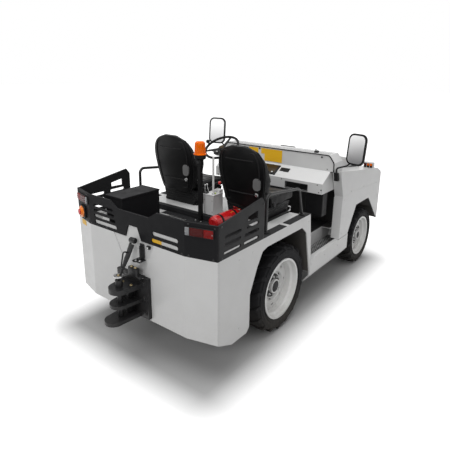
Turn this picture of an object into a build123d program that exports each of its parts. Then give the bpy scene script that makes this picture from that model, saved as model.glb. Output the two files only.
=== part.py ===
"""Airport baggage tug: open two-seat electric tow tractor with a rear tow coupler.

Frame: +Z up, +Y forward, +X to the vehicle's right. The origin lies on the ground below
the middle of the vehicle. Positions along the vehicle are measured from the rear face of
the body, so every one of them is rear_y plus a distance.
"""
import os
from math import atan2, cos, degrees, radians, sin

from build123d import *

os.makedirs("parts", exist_ok=True)

# Main sizes of the vehicle
half_width = 750
rear_y = -1432
body_length = 3144
front_y = rear_y + body_length
corner_x = half_width - 236
corner_depth = 60
skin = 10
plate = 12
gap = 0.3

# Heights of the body's levels
sill_bottom = 268
rear_bottom = 340
band_bottom = 962
band_top = 1209
guard_top = 1285
deck_top = band_bottom
cargo_top = 915
step_level = 450
floor_level = 600
sill_top = 508

# Wheels and axles
rear_wheel_y = rear_y + 975
rear_radius = 381
rear_tyre_width = 240
rear_rim_radius = 253
rear_wheel_x = half_width - 150
front_wheel_y = front_y - 389
front_radius = 327
front_tyre_width = 200
front_rim_radius = 214
front_wheel_x = half_width - 138
kingpin_x = half_width - 220
lug_depth = 16
hub_clearance = 0.5

# Chassis rails
rail_x = 270
rail_width = 60
rail_height = 110
rail_bottom = 480
rail_wall = 8
rail_top = rail_bottom + rail_height


def save(builder, label):
    """Labels a finished piece and writes it."""
    builder.part.label = label
    export_step(builder.part, f"parts/{label}.step")


def side_profile(points, mode=Mode.ADD):
    """Closed outline seen along X; each point is a distance from the rear face and a height."""
    with BuildLine() as outline:
        Polyline(*[(rear_y + distance, height) for distance, height in points], close=True)
    make_face(outline.edges(), mode=mode)


def box_at(x_range, distance_range, z_range, mode=Mode.ADD):
    """Block between two values along each axis, lengthwise from the rear face."""
    width = x_range[1] - x_range[0]
    length = distance_range[1] - distance_range[0]
    height = z_range[1] - z_range[0]
    centre = (
        (x_range[0] + x_range[1]) / 2,
        rear_y + (distance_range[0] + distance_range[1]) / 2,
        (z_range[0] + z_range[1]) / 2,
    )
    with Locations(centre):
        Box(width, length, height, mode=mode)


# Chassis: two channel rails, three cross members
cross_members = [60, 1500, 3000]  # distance from the rear face
with BuildPart() as frame_rails:
    for side in (-1, 1):
        with BuildSketch(Plane.XZ.offset(-(rear_y + 20))):
            with Locations((side * rail_x, rail_bottom + rail_height / 2)):
                Rectangle(rail_width, rail_height)
            inner_x = side * (rail_x - rail_wall)
            with Locations((inner_x, rail_bottom + rail_height / 2)):
                Rectangle(rail_width, rail_height - 2 * rail_wall, mode=Mode.SUBTRACT)
        extrude(amount=-(body_length - 60))
    for distance in cross_members:
        with Locations((0, rear_y + distance + 30, rail_bottom + rail_height / 2)):
            Box(2 * rail_x - rail_width + 2 * 50, 60, rail_height - 2 * rail_wall)
save(frame_rails, "frame_rails")

# Rear axle: housing with a differential bulb, spindles for the wheels
axle_tube_radius = 55
spindle_radius = 30
rear_flange_x = rear_wheel_x - 130
spindle_end = rear_wheel_x - 40
bulb_radius = 125
with BuildPart(Plane.YZ) as rear_axle:
    with Locations((rear_wheel_y, rear_radius, 0)):
        Cylinder(axle_tube_radius, 2 * rear_flange_x)
        Sphere(bulb_radius)
        Cylinder(spindle_radius, 2 * spindle_end)
    for side in (-1, 1):
        with Locations((rear_wheel_y, rear_radius, side * (rear_flange_x - 10))):
            Cylinder(85, 20)
save(rear_axle, "rear_axle")

# Drive motor, lengthwise in front of the rear axle, carried by the differential
motor_radius = 105
motor_length = 330
with BuildPart(Plane.XZ.offset(-(rear_wheel_y + bulb_radius + gap))) as drive_motor:
    with Locations((0, rear_radius, -motor_length / 2)):
        Cylinder(motor_radius, motor_length)
save(drive_motor, "drive_motor")


# Front axle: box beam with an eye at each end for the kingpin
beam_height = 60
beam_depth = 60
kingpin_radius = 14
eye_radius = 30
eye_height = 80
kingpin_clearance = 0.5
with BuildPart() as front_axle:
    with Locations((0, front_wheel_y, front_radius)):
        Box(2 * kingpin_x - eye_radius, beam_depth, beam_height)
    for side in (-1, 1):
        with Locations((side * kingpin_x, front_wheel_y, front_radius)):
            Cylinder(eye_radius, eye_height)
    for side in (-1, 1):
        with Locations((side * kingpin_x, front_wheel_y, front_radius)):
            Cylinder(kingpin_radius + kingpin_clearance, eye_height, mode=Mode.SUBTRACT)
save(front_axle, "front_axle")
# Leaf springs under the rails; the pack of each corner is fused
spring_half_span = 330
leaf_width = 55
leaf_count = 4
leaf_thickness = 9
hanger = 34
spring_seats = [  # axle position, height of the seat on the axle, rise of the main leaf
    (rear_wheel_y, rear_radius - axle_tube_radius - leaf_count * leaf_thickness - gap, 100),
    (front_wheel_y, front_radius + beam_height / 2 + gap, 80),
]
with BuildPart() as leaf_springs:
    for axle_y, seat_z, rise in spring_seats:
        sag_radius = (spring_half_span**2 + rise**2) / (2 * rise)
        for side in (-1, 1):
            for index in range(leaf_count):
                reach = spring_half_span * (1 - 0.22 * index)
                base = seat_z + leaf_thickness * (leaf_count - 1 - index)
                end_rise = sag_radius - (sag_radius**2 - reach**2) ** 0.5
                with BuildSketch(Plane.YZ.offset(side * rail_x - leaf_width / 2)):
                    with BuildLine():
                        lower = ThreePointArc(
                            (axle_y - reach, base + end_rise),
                            (axle_y, base),
                            (axle_y + reach, base + end_rise),
                        )
                        upper = ThreePointArc(
                            (axle_y - reach, base + end_rise + leaf_thickness),
                            (axle_y, base + leaf_thickness),
                            (axle_y + reach, base + end_rise + leaf_thickness),
                        )
                        Line(lower @ 0, upper @ 0)
                        Line(lower @ 1, upper @ 1)
                    make_face()
                extrude(amount=leaf_width)
            hanger_bottom = seat_z + leaf_thickness * (leaf_count - 1) + rise * 0.85
            hanger_height = rail_bottom - gap - hanger_bottom
            for end in (-1, 1):
                hanger_y = axle_y + end * (spring_half_span - hanger / 2)
                with Locations((side * rail_x, hanger_y, hanger_bottom + hanger_height / 2)):
                    Box(leaf_width, hanger, hanger_height)
save(leaf_springs, "leaf_springs")

# Steering knuckles: fork round the axle's eye, kingpin, spindle and rearward arm
fork_plate = 22
fork_gap = 2
arm_length = 140
rod_pin_radius = 9
for side, name in ((-1, "left"), (1, "right")):
    with BuildPart() as knuckle:
        for level in (-1, 1):
            level_z = front_radius + level * (eye_height / 2 + fork_gap + fork_plate / 2)
            with Locations((side * kingpin_x, front_wheel_y, level_z)):
                Cylinder(eye_radius, fork_plate)
            with Locations((side * (kingpin_x + 22), front_wheel_y, level_z)):
                Box(44, 2 * eye_radius, fork_plate)
        with Locations((side * (kingpin_x + 42), front_wheel_y, front_radius)):
            Box(18, 2 * eye_radius, eye_height + 2 * fork_gap + 2 * fork_plate)
        with Locations((side * kingpin_x, front_wheel_y, front_radius)):
            Cylinder(kingpin_radius, eye_height + 2 * fork_gap)
        with Locations(Location((side * (kingpin_x + 75), front_wheel_y, front_radius), (0, 90, 0))):
            Cylinder(22, 60)
        arm_z = front_radius - eye_height / 2 - fork_gap - fork_plate / 2
        with BuildSketch(Plane.XY.offset(arm_z - 9)):
            with BuildLine():
                Polyline(
                    (side * (kingpin_x - 20), front_wheel_y - 10),
                    (side * (kingpin_x + 20), front_wheel_y - 10),
                    (side * (kingpin_x + 16), front_wheel_y - arm_length),
                    (side * (kingpin_x - 16), front_wheel_y - arm_length),
                    close=True,
                )
            make_face()
            with Locations((side * kingpin_x, front_wheel_y - arm_length)):
                Circle(20)
        extrude(amount=18)
        pin_height = 34
        with Locations((side * kingpin_x, front_wheel_y - arm_length, arm_z + 9 + pin_height / 2)):
            Cylinder(rod_pin_radius, pin_height)
    save(knuckle, f"knuckle_{name}")

# Tie rod between the knuckles' arms
rod_radius = 11
rod_eye_radius = 20
rod_eye_height = 26
rod_z = arm_z + 9 + 16
with BuildPart() as tie_rod:
    with Locations(Location((0, front_wheel_y - arm_length, rod_z), (0, 90, 0))):
        Cylinder(rod_radius, 2 * kingpin_x - 1.5 * rod_eye_radius)
    for side in (-1, 1):
        with Locations((side * kingpin_x, front_wheel_y - arm_length, rod_z)):
            Cylinder(rod_eye_radius, rod_eye_height)
    for side in (-1, 1):
        with Locations((side * kingpin_x, front_wheel_y - arm_length, rod_z)):
            Cylinder(rod_pin_radius + 0.5, 40, mode=Mode.SUBTRACT)
save(tie_rod, "tie_rod")


# Wheels
bead_share = 0.86
lip_height = 12
lip_width = 8


def wheel_plane(x_centre, y_centre, z_centre, side):
    """Plane at the wheel's middle whose normal points out of the vehicle's side."""
    return Plane((x_centre * side, y_centre, z_centre), x_dir=(0, side, 0), z_dir=(side, 0, 0))


def tyre(label, plane, radius, rim_radius, width, lug_count, lug_width, lug_angle):
    """Carcass with a row of slanting lugs on each shoulder, trimmed to a round crown."""
    half = width / 2
    bead = half * bead_share
    crown = radius - lug_depth
    with BuildPart(plane) as piece:
        for row in (-1, 1):
            with PolarLocations(0, lug_count, start_angle=(row + 1) * 90 / lug_count):
                with Locations(Location((crown, 0, row * half * 0.52), (row * lug_angle, 0, 0))):
                    Box(4 * lug_depth, lug_width, width * 0.56)
        with BuildSketch(Plane(plane.origin, x_dir=plane.x_dir, z_dir=-plane.y_dir)) as envelope:
            with BuildLine():
                Polyline(
                    (crown - 40, -half),
                    (radius - 34, -half),
                    (radius - 6, -half * 0.86),
                    (radius, -half * 0.5),
                    (radius, half * 0.5),
                    (radius - 6, half * 0.86),
                    (radius - 34, half),
                    (crown - 40, half),
                    close=True,
                )
            make_face()
        revolve(axis=Axis(plane.origin, plane.z_dir), mode=Mode.INTERSECT)
        with BuildSketch(Plane(plane.origin, x_dir=plane.x_dir, z_dir=-plane.y_dir)):
            with BuildLine():
                Polyline(
                    (rim_radius + gap, -bead),
                    (rim_radius + lip_height + 2, -bead),
                    (rim_radius + 26, -half * 0.97),
                    (crown - 36, -half * 0.99),
                    (crown - 8, -half * 0.84),
                    (crown, -half * 0.5),
                    (crown, half * 0.5),
                    (crown - 8, half * 0.84),
                    (crown - 36, half * 0.99),
                    (rim_radius + 26, half * 0.97),
                    (rim_radius + lip_height + 2, bead),
                    (rim_radius + gap, bead),
                    close=True,
                )
            make_face()
        revolve(axis=Axis(plane.origin, plane.z_dir))
    save(piece, label)


def rim(label, plane, rim_radius, width, disc_offset, hub_radius, bore, inner, outer, cap_radius):
    """Pressed wheel fused with its hub: barrel with lips, disc with hand holes, drum on the spindle."""
    bead = width / 2 * bead_share
    face = bead + gap + lip_width
    wall = 6
    well = rim_radius - 26
    with BuildPart(plane) as piece:
        with BuildSketch(Plane(plane.origin, x_dir=plane.x_dir, z_dir=-plane.y_dir)):
            with BuildLine():
                Polyline(
                    (rim_radius, -bead),
                    (rim_radius, bead),
                    (rim_radius + lip_height, bead + gap),
                    (rim_radius + lip_height, face),
                    (rim_radius - wall, face),
                    (rim_radius - wall - 4, bead * 0.7),
                    (well, bead * 0.55),
                    (well, disc_offset + wall),
                    (hub_radius + 34, disc_offset + wall + 22),
                    (hub_radius + 20, disc_offset + wall),
                    (hub_radius - 10, disc_offset + wall),
                    (hub_radius - 10, disc_offset - wall),
                    (hub_radius + 22, disc_offset - wall),
                    (hub_radius + 36, disc_offset + 16),
                    (well - wall, disc_offset - wall),
                    (well - wall, -bead * 0.6),
                    (rim_radius - wall, -bead * 0.75),
                    (rim_radius - wall, -face),
                    (rim_radius + lip_height, -face),
                    (rim_radius + lip_height, -bead - gap),
                    close=True,
                )
            make_face()
        revolve(axis=Axis(plane.origin, plane.z_dir))
        hole_ring = (hub_radius + 36 + rim_radius - 32) / 2
        with PolarLocations(hole_ring, 8):
            Cylinder(14, 3 * width, mode=Mode.SUBTRACT)
        with Locations((0, 0, (inner + outer) / 2)):
            Cylinder(hub_radius, outer - inner)
        with Locations((0, 0, outer + 15)):
            Cylinder(cap_radius, 30)
        spindle_hole = outer - inner - 8
        with Locations((0, 0, inner + spindle_hole / 2)):
            Cylinder(bore, spindle_hole, mode=Mode.SUBTRACT)
    save(piece, label)


for side, name in ((-1, "left"), (1, "right")):
    rear_plane = wheel_plane(rear_wheel_x, rear_wheel_y, rear_radius, side)
    tyre(f"rear_tyre_{name}", rear_plane, rear_radius, rear_rim_radius, rear_tyre_width, 18, 30, 32)
    rim(
        f"rear_rim_{name}", rear_plane, rear_rim_radius, rear_tyre_width, 0, 100,
        spindle_radius + hub_clearance, rear_flange_x + gap - rear_wheel_x, 14, 62,
    )
    front_plane = wheel_plane(front_wheel_x, front_wheel_y, front_radius, side)
    tyre(
        f"front_tyre_{name}", front_plane, front_radius, front_rim_radius,
        front_tyre_width, 18, 26, 28,
    )
    rim(
        f"front_rim_{name}", front_plane, front_rim_radius, front_tyre_width, 20, 80,
        22 + hub_clearance, kingpin_x + 51 + gap - front_wheel_x, 40, 50,
    )

# Rear wall with its slanted corners and the V-shaped recess above the coupler
recess_depth = 6
recess = [  # right half of the outline, from below: distance from the middle, height
    (100, 700),
    (154, 831),
    (223, band_bottom),
]
with BuildPart() as rear_wall:
    with BuildSketch(Plane.XY.offset(rear_bottom)):
        with BuildLine():
            Polyline(
                (-half_width, rear_y + corner_depth),
                (-corner_x, rear_y),
                (corner_x, rear_y),
                (half_width, rear_y + corner_depth),
                (half_width, rear_y + corner_depth + 14),
                (corner_x, rear_y + plate),
                (-corner_x, rear_y + plate),
                (-half_width, rear_y + corner_depth + 14),
                close=True,
            )
        make_face()
    extrude(amount=band_bottom - rear_bottom)
    with BuildSketch(Plane.XZ.offset(-rear_y)):
        with BuildLine():
            Polyline(*[(-across, height) for across, height in reversed(recess)], *recess, close=True)
        make_face()
    extrude(amount=-recess_depth, mode=Mode.SUBTRACT)
save(rear_wall, "rear_wall")

# Charcoal band above the rear wall: slots, lamp recesses, notch over the pin rod
band_slots = [  # x from, x to, height of the middle, slot height
    (205, 455, 1051, 32),
    (194, 455, 998, 32),
    (-455, -215, 1130, 24),
    (-455, -205, 1090, 24),
    (-455, -195, 1045, 28),
    (-455, -185, 998, 32),
]
with BuildPart() as rear_band:
    with BuildSketch(Plane.XY.offset(band_bottom)):
        with BuildLine():
            Polyline(
                (-half_width, rear_y + corner_depth),
                (-corner_x, rear_y),
                (corner_x, rear_y),
                (half_width, rear_y + corner_depth),
                (half_width, rear_y + corner_depth + 14),
                (corner_x, rear_y + plate),
                (-corner_x, rear_y + plate),
                (-half_width, rear_y + corner_depth + 14),
                close=True,
            )
        make_face()
    extrude(amount=band_top - band_bottom)
    with BuildSketch(Plane.XZ.offset(-(rear_y - 1))):
        with BuildLine():
            Polyline((-250, band_top), (-167, 1157), (167, 1157), (250, band_top), close=True)
        make_face()
        with BuildLine():
            Polyline((-85, band_bottom), (-48, 1058), (48, 1058), (85, band_bottom), close=True)
        make_face()
        for x_from, x_to, height, slot_height in band_slots:
            with Locations(((x_from + x_to) / 2, height)):
                SlotOverall(x_to - x_from, slot_height)
    extrude(amount=-30, mode=Mode.SUBTRACT)
save(rear_band, "rear_band")

# Side guards beside the rear deck: hand opening and rows of slots
guard_front = 600
guard_slots = [  # distance from, distance to, height of the middle
    (378, 530, 1113),
    (352, 530, 1060),
    (348, 532, 1000),
    (131, 315, 1113),
    (129, 312, 1060),
    (125, 312, 1003),
]
guard_slot_height = 26
with BuildPart() as side_guards:
    for side in (-1, 1):
        inner_face = half_width - plate if side > 0 else -half_width
        with BuildSketch(Plane.YZ.offset(inner_face)):
            side_profile(
                [
                    (corner_depth + 15, band_bottom),
                    (guard_front, band_bottom),
                    (guard_front, guard_top - 45),
                    (guard_front - 35, guard_top),
                    (corner_depth + 15, band_top),
                ]
            )
            side_profile([(392, 1151), (392, 1187), (512, 1205), (512, 1146)], mode=Mode.SUBTRACT)
            for start, end, height in guard_slots:
                with Locations((rear_y + (start + end) / 2, height)):
                    SlotOverall(end - start, guard_slot_height, mode=Mode.SUBTRACT)
        extrude(amount=plate)
save(side_guards, "side_guards")

def housing_section(outline, wall):
    """Wall that follows an arch on its outside and is open below."""
    side_profile(outline)
    offset(amount=wall, kind=Kind.INTERSECTION)
    below = [(outline[-1][0], outline[-1][1] - 200), (outline[0][0], outline[0][1] - 200)]
    side_profile(outline + below, mode=Mode.SUBTRACT)


# Rear side skins with the wheel arches, and the wheel housings behind them
deck_front = 1276
fender_front = 1346
arch = [  # distance, height
    (434, 306),
    (434, 570),
    (520, 755),
    (590, 862),
    (656, 879),
    (1205, 873),
    (1290, 802),
    (1385, 401),
]
housing_inner_x = half_width - 310
housing_wall = 5
strip_width = 70
strip_thickness = 4
deck_thickness = 12
with BuildPart() as rear_fenders:
    for side in (-1, 1):
        with BuildSketch(Plane.YZ.offset(half_width - skin if side > 0 else -half_width)):
            side_profile(
                [(corner_depth + 15, 330), (220, sill_bottom), (400, sill_bottom)]
                + arch
                + [
                    (1388, 400),
                    (1388, sill_top + 4 + gap),
                    (1405, sill_top + 4 + gap),
                    (fender_front, band_bottom),
                    (corner_depth + 15, band_bottom),
                ]
            )
        extrude(amount=skin)
        flange = (half_width - strip_width, half_width - skin)
        box_at(
            flange if side > 0 else (-flange[1], -flange[0]),
            (deck_front, fender_front),
            (deck_top - deck_thickness, deck_top),
        )
save(rear_fenders, "rear_fenders")
with BuildPart() as wheel_housings:
    outer_x = half_width - skin
    for side in (-1, 1):
        with BuildSketch(Plane.YZ.offset(housing_inner_x if side > 0 else -outer_x)):
            housing_section(arch[1:], housing_wall)
        extrude(amount=outer_x - housing_inner_x)
        with BuildSketch(Plane.YZ.offset(side * housing_inner_x - (0 if side > 0 else housing_wall))):
            side_profile(arch[1:])
        extrude(amount=housing_wall)
save(wheel_housings, "wheel_housings")

# Seat deck with its ledges along the guards and the bulkhead towards the footwell
bulkhead_thickness = 8
seat_deck_start = 720
ledge_x = half_width - strip_width
deck_bottom = deck_top - deck_thickness
deck_half = half_width - skin
with BuildPart() as rear_deck:
    box_at((-deck_half, deck_half), (seat_deck_start, deck_front), (deck_bottom, deck_top))
    for side in (-1, 1):
        ledge = sorted((side * ledge_x, side * deck_half))
        box_at(ledge, (corner_depth + 15, seat_deck_start), (deck_bottom, deck_top))
    box_at(
        (-housing_inner_x, housing_inner_x),
        (deck_front - bulkhead_thickness, deck_front),
        (floor_level, deck_bottom),
    )
    box_at(
        (-deck_half, deck_half),
        (deck_front - bulkhead_thickness, deck_front),
        (835, deck_bottom),
    )
save(rear_deck, "rear_deck")

# Cargo floor: shallow tray between the rear band and the seat deck
tray_wall = 8
tray_bottom = cargo_top - deck_thickness
tray_front = seat_deck_start + tray_wall
tray_corner = 56
tray_rear = plate + gap
with BuildPart() as cargo_floor:
    with BuildSketch(Plane.XY.offset(tray_bottom)):
        with BuildLine():
            Polyline(
                (-ledge_x, rear_y + tray_front),
                (-ledge_x, rear_y + tray_corner),
                (-corner_x, rear_y + tray_rear),
                (corner_x, rear_y + tray_rear),
                (ledge_x, rear_y + tray_corner),
                (ledge_x, rear_y + tray_front),
                close=True,
            )
        make_face()
    extrude(amount=deck_thickness)
    box_at((-ledge_x, ledge_x), (seat_deck_start, tray_front), (tray_bottom, deck_bottom))
    for side in (-1, 1):
        wall = sorted((side * (ledge_x - tray_wall), side * ledge_x))
        box_at(wall, (corner_depth + 15, seat_deck_start), (tray_bottom, deck_bottom))
save(cargo_floor, "cargo_floor")

strip_runs = [(guard_front + 6, 935), (985, fender_front)]
with BuildPart() as deck_strips:
    for side in (-1, 1):
        outer = side * half_width
        inner = side * (half_width - strip_width)
        for start, end in strip_runs:
            strip = (min(inner, outer), max(inner, outer))
            box_at(strip, (start, end), (deck_top, deck_top + strip_thickness))
save(deck_strips, "deck_strips")

# Traction battery between the wheel housings
with BuildPart() as battery:
    box_at((-400, 400), (330, 1230), (rail_top, cargo_top - deck_thickness - 10))
save(battery, "traction_battery")

# Tool box on the cargo floor, with its hinged lid
tool_box_x = (-420, -220)
tool_box_y = (92, 474)
tool_box_top = 1203
lid_thickness = 14
box_wall = 4
lid_bottom = tool_box_top - lid_thickness + gap
lid_hinge = (tool_box_x[0] - 9, lid_bottom)
hinge_barrel = 6
hinge_pin = 2.5
hinge_places = [  # lengthwise start and end of each hinge's middle barrel
    (160, 190),
    (376, 406),
]
hinge_leaf = 24
with BuildPart() as tool_box:
    box_at(tool_box_x, tool_box_y, (cargo_top, tool_box_top - lid_thickness))
    box_at(
        (tool_box_x[0] + box_wall, tool_box_x[1] - box_wall),
        (tool_box_y[0] + box_wall, tool_box_y[1] - box_wall),
        (cargo_top + box_wall, tool_box_top),
        mode=Mode.SUBTRACT,
    )
    for start, end in hinge_places:
        middle = rear_y + (start + end) / 2
        box_at((lid_hinge[0], tool_box_x[0] + 1), (start, end), (lid_bottom - 28, lid_bottom - 2))
        with Locations(Location((lid_hinge[0], middle, lid_hinge[1]), (90, 0, 0))):
            Cylinder(hinge_barrel, end - start)
            Cylinder(hinge_pin, end - start + 2 * hinge_leaf)
save(tool_box, "tool_box")

with BuildPart() as tool_box_lid:
    box_at(
        (tool_box_x[0] - 4, tool_box_x[1] + 4),
        (tool_box_y[0] - 4, tool_box_y[1] + 4),
        (lid_bottom, tool_box_top + gap),
    )
    fillet(tool_box_lid.faces().sort_by(Axis.Z)[-1].edges(), 5)
    for start, end in hinge_places:
        box_at(
            (lid_hinge[0] - hinge_barrel - 1, tool_box_x[0]),
            (start - 1, end + 1),
            (lid_bottom - 1, lid_bottom + hinge_barrel + 1),
            mode=Mode.SUBTRACT,
        )
        for near, far in ((start - hinge_leaf, start - 1), (end + 1, end + hinge_leaf)):
            with Locations(Location((lid_hinge[0], rear_y + (near + far) / 2, lid_hinge[1]), (90, 0, 0))):
                Cylinder(hinge_barrel, far - near)
                Cylinder(hinge_pin + 0.5, far - near + 1, mode=Mode.SUBTRACT)
save(tool_box_lid, "tool_box_lid")

# Hip rails: bent tubes beside the seats
rail_tube = 12.5
hip_rail_x = half_width - 45
foot_height = 6
hip_rail_z = deck_top + strip_thickness
hip_rail_points = [  # distance, height
    (692, hip_rail_z + foot_height),
    (694, 1272),
    (1190, 1215),
    (1262, hip_rail_z + foot_height),
]
with BuildPart() as hip_rails:
    for side in (-1, 1):
        with BuildLine(Plane.YZ.offset(side * hip_rail_x)) as route:
            FilletPolyline(*[(rear_y + d, z) for d, z in hip_rail_points], radius=45)
        with BuildSketch(Plane(origin=route.line @ 0, z_dir=route.line % 0)):
            Circle(rail_tube)
        sweep(path=route.line)
        for foot in (hip_rail_points[0], hip_rail_points[-1]):
            with Locations((side * hip_rail_x, rear_y + foot[0], hip_rail_z + (foot_height + 8) / 2)):
                Cylinder(26, foot_height + 8)
save(hip_rails, "hip_rails")

# Seats: base, cushion, back; each a table row
seats = [  # name, middle x, width, cushion front, back height, cushion height
    ("driver", -380, 460, 1350, 1610, 1178),
    ("passenger", 378, 460, 1345, 1598, 1174),
]
cushion_rear = 925
base_run = (885, 1260)
base_width = 350
base_flare = 50
base_depth = 95
back_thickness = 95
back_lean_run = 70
back_soft = 18
back_outline = [  # share of the seat's width from its middle, share of the back's height
    (0.39, 0),
    (0.46, 0.2),
    (0.5, 0.45),
    (0.46, 0.7),
    (0.37, 0.86),
    (0.22, 1),
]
base_middle = rear_y + (base_run[0] + base_run[1]) / 2
base_length = base_run[1] - base_run[0]
with BuildPart() as seat_bases:
    for name, seat_x, seat_width, cushion_front, back_top, cushion_top in seats:
        with BuildSketch(Plane.XY.offset(deck_top)):
            with Locations((seat_x, base_middle)):
                Rectangle(base_width, base_length)
        with BuildSketch(Plane.XY.offset(cushion_top - base_depth - gap)):
            with Locations((seat_x, base_middle)):
                Rectangle(base_width + base_flare, base_length)
        loft()
save(seat_bases, "seat_bases")
for name, seat_x, seat_width, cushion_front, back_top, cushion_top in seats:
    base_top = cushion_top - base_depth
    with BuildPart() as cushion:
        with BuildSketch(Plane.XY.offset(base_top)):
            with Locations((seat_x, rear_y + (cushion_rear + cushion_front) / 2)):
                RectangleRounded(seat_width, cushion_front - cushion_rear, 50)
        extrude(amount=cushion_top - base_top)
        fillet(cushion.faces().sort_by(Axis.Z)[-1].edges(), 25)
    save(cushion, f"{name}_seat_cushion")
    back_lean = atan2(back_lean_run, back_top - cushion_top)
    back_front = cushion_rear - gap + back_soft * (sin(back_lean) + cos(back_lean) - 1)
    back_bottom = base_top + back_thickness * sin(back_lean)
    back_plane = Plane(
        (seat_x, rear_y + back_front, back_bottom),
        x_dir=(1, 0, 0),
        z_dir=(0, -cos(back_lean), -sin(back_lean)),
    )
    back_height = (back_top - back_bottom) / cos(back_lean)
    right_edge = [(seat_width * across, back_height * up) for across, up in back_outline]
    left_edge = [(-across, up) for across, up in reversed(right_edge)]
    with BuildPart() as backrest:
        with BuildSketch(back_plane):
            with BuildLine():
                Polyline(*right_edge, *left_edge, close=True)
            make_face()
        extrude(amount=back_thickness)
        fillet(backrest.edges(), back_soft)
    save(backrest, f"{name}_seat_back")

# Beacon on its post behind the seats
beacon_x = 36
beacon_distance = 703
post_size = 30
post_top = 1457
socket_height = 34
beacon_profile = [  # radius, height above the socket
    (54, 0),
    (54, 10),
    (46, 17),
    (43, 98),
    (28, 112),
]
with BuildPart() as beacon_post:
    with Locations((beacon_x, rear_y + beacon_distance, (cargo_top + post_top) / 2)):
        Box(post_size, post_size, post_top - cargo_top)
    with Locations((beacon_x, rear_y + seat_deck_start - post_size, cargo_top + 4)):
        Box(80, 2 * post_size, 8)
    with Locations((beacon_x, rear_y + beacon_distance, post_top + socket_height / 2)):
        Cylinder(44, socket_height)
save(beacon_post, "beacon_post")
with BuildPart() as beacon:
    with BuildSketch(Plane.XZ.offset(-(rear_y + beacon_distance))):
        base = post_top + socket_height
        with BuildLine():
            Polyline(
                (beacon_x, base),
                *[(beacon_x + radius, base + height) for radius, height in beacon_profile],
                (beacon_x, base + beacon_profile[-1][1]),
                close=True,
            )
        make_face()
    revolve(axis=Axis((beacon_x, rear_y + beacon_distance, 0), (0, 0, 1)))
save(beacon, "beacon")

# Console between the seats
with BuildPart() as console:
    box_at((10, 120), (770, 900), (deck_top, 1132))
save(console, "console")

# Fire extinguisher lying in its cradle, with its neck towards the seat
bottle_radius = 52
bottle_length = 330
bottle_x = 350
bottle_distance = 650
bottle_z = deck_top + bottle_radius + 10
neck_length = 66
neck_distance = bottle_distance + bottle_length / 2 + neck_length / 2 - 10
cradle_feet = [  # distance of the middle, height of the floor below
    (560, cargo_top),
    (750, deck_top),
]
with BuildPart() as extinguisher:
    with Locations(Location((bottle_x, rear_y + bottle_distance, bottle_z), (90, 0, 0))):
        Cylinder(bottle_radius, bottle_length)
    fillet(extinguisher.edges(), 30)
    with Locations(Location((bottle_x, rear_y + neck_distance, bottle_z), (90, 0, 0))):
        Cylinder(18, neck_length)
save(extinguisher, "fire_extinguisher")
with BuildPart() as cradle:
    for distance, foot in cradle_feet:
        box_at((bottle_x - 40, bottle_x + 40), (distance - 12, distance + 12), (foot, deck_top + 30))
    with Locations(Location((bottle_x, rear_y + bottle_distance, bottle_z), (90, 0, 0))):
        Cylinder(bottle_radius + gap, 400, mode=Mode.SUBTRACT)
save(cradle, "extinguisher_cradle")

# Cab floor, steps and sills
step_x = (half_width - 215, half_width - 50)
sill_x = (half_width - 50, half_width)
cab_start = 1392
cab_front = 2252
sill_end = 2255
well_wall = 8
fire_wall_half = 540
shoulder_top = 940
flange_x = half_width - 90
front_skin_start = 2056
with BuildPart() as cab_floor:
    box_at((-430, 430), (deck_front, cab_start), (floor_level - 10, floor_level))
    box_at((-step_x[0], step_x[0]), (cab_start, cab_front + 18), (floor_level - 10, floor_level))
    box_at((4 - flange_x, flange_x - 4), (front_skin_start, cab_front), (floor_level - 10, floor_level))
    fire_wall_run = (cab_front - well_wall, cab_front)
    box_at((-fire_wall_half, fire_wall_half), fire_wall_run, (floor_level - 5, 1170))
    for side in (-1, 1):
        well = sorted((side * (step_x[0] - well_wall), side * step_x[0]))
        box_at(well, (cab_start, cab_front), (step_level - 10, floor_level - 10))
        well_front = sorted((side * (step_x[0] - well_wall), side * (step_x[1] - 4)))
        box_at(well_front, fire_wall_run, (step_level - 10, floor_level - 5))
        wall = sorted((side * (flange_x - 12), side * (flange_x - 4)))
        box_at(wall, (front_skin_start, cab_front), (floor_level - 5, shoulder_top))
        shoulder = sorted((side * (fire_wall_half - 5), side * (flange_x - 4)))
        box_at(shoulder, fire_wall_run, (floor_level - 5, shoulder_top))
save(cab_floor, "cab_floor")
with BuildPart() as step_plates:
    for side in (-1, 1):
        outer = side * step_x[1]
        inner = side * step_x[0]
        box_at((min(inner, outer), max(inner, outer)), (cab_start + 10, 2235), (step_level - 8, step_level))
save(step_plates, "step_plates")
with BuildPart() as sills:
    for side in (-1, 1):
        with BuildSketch(Plane.XZ.offset(-(rear_y + cab_start))):
            with BuildLine():
                Polyline(
                    (side * sill_x[0], step_level - 60),
                    (side * sill_x[0], sill_top),
                    (side * (sill_x[0] + skin), sill_top + 4),
                    (side * half_width, sill_top),
                    (side * half_width, 350),
                    (side * (half_width - 60), 272),
                    (side * (half_width - 90), 272),
                    (side * (half_width - 90), 284),
                    (side * (half_width - 66), 284),
                    (side * (half_width - 14), 354),
                    (side * (half_width - 14), sill_top - 14),
                    (side * (sill_x[0] + skin), sill_top - 14),
                    (side * (sill_x[0] + skin), step_level - 60),
                    close=True,
                )
            make_face()
        extrude(amount=-(sill_end - cab_start))
save(sills, "sills")

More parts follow.
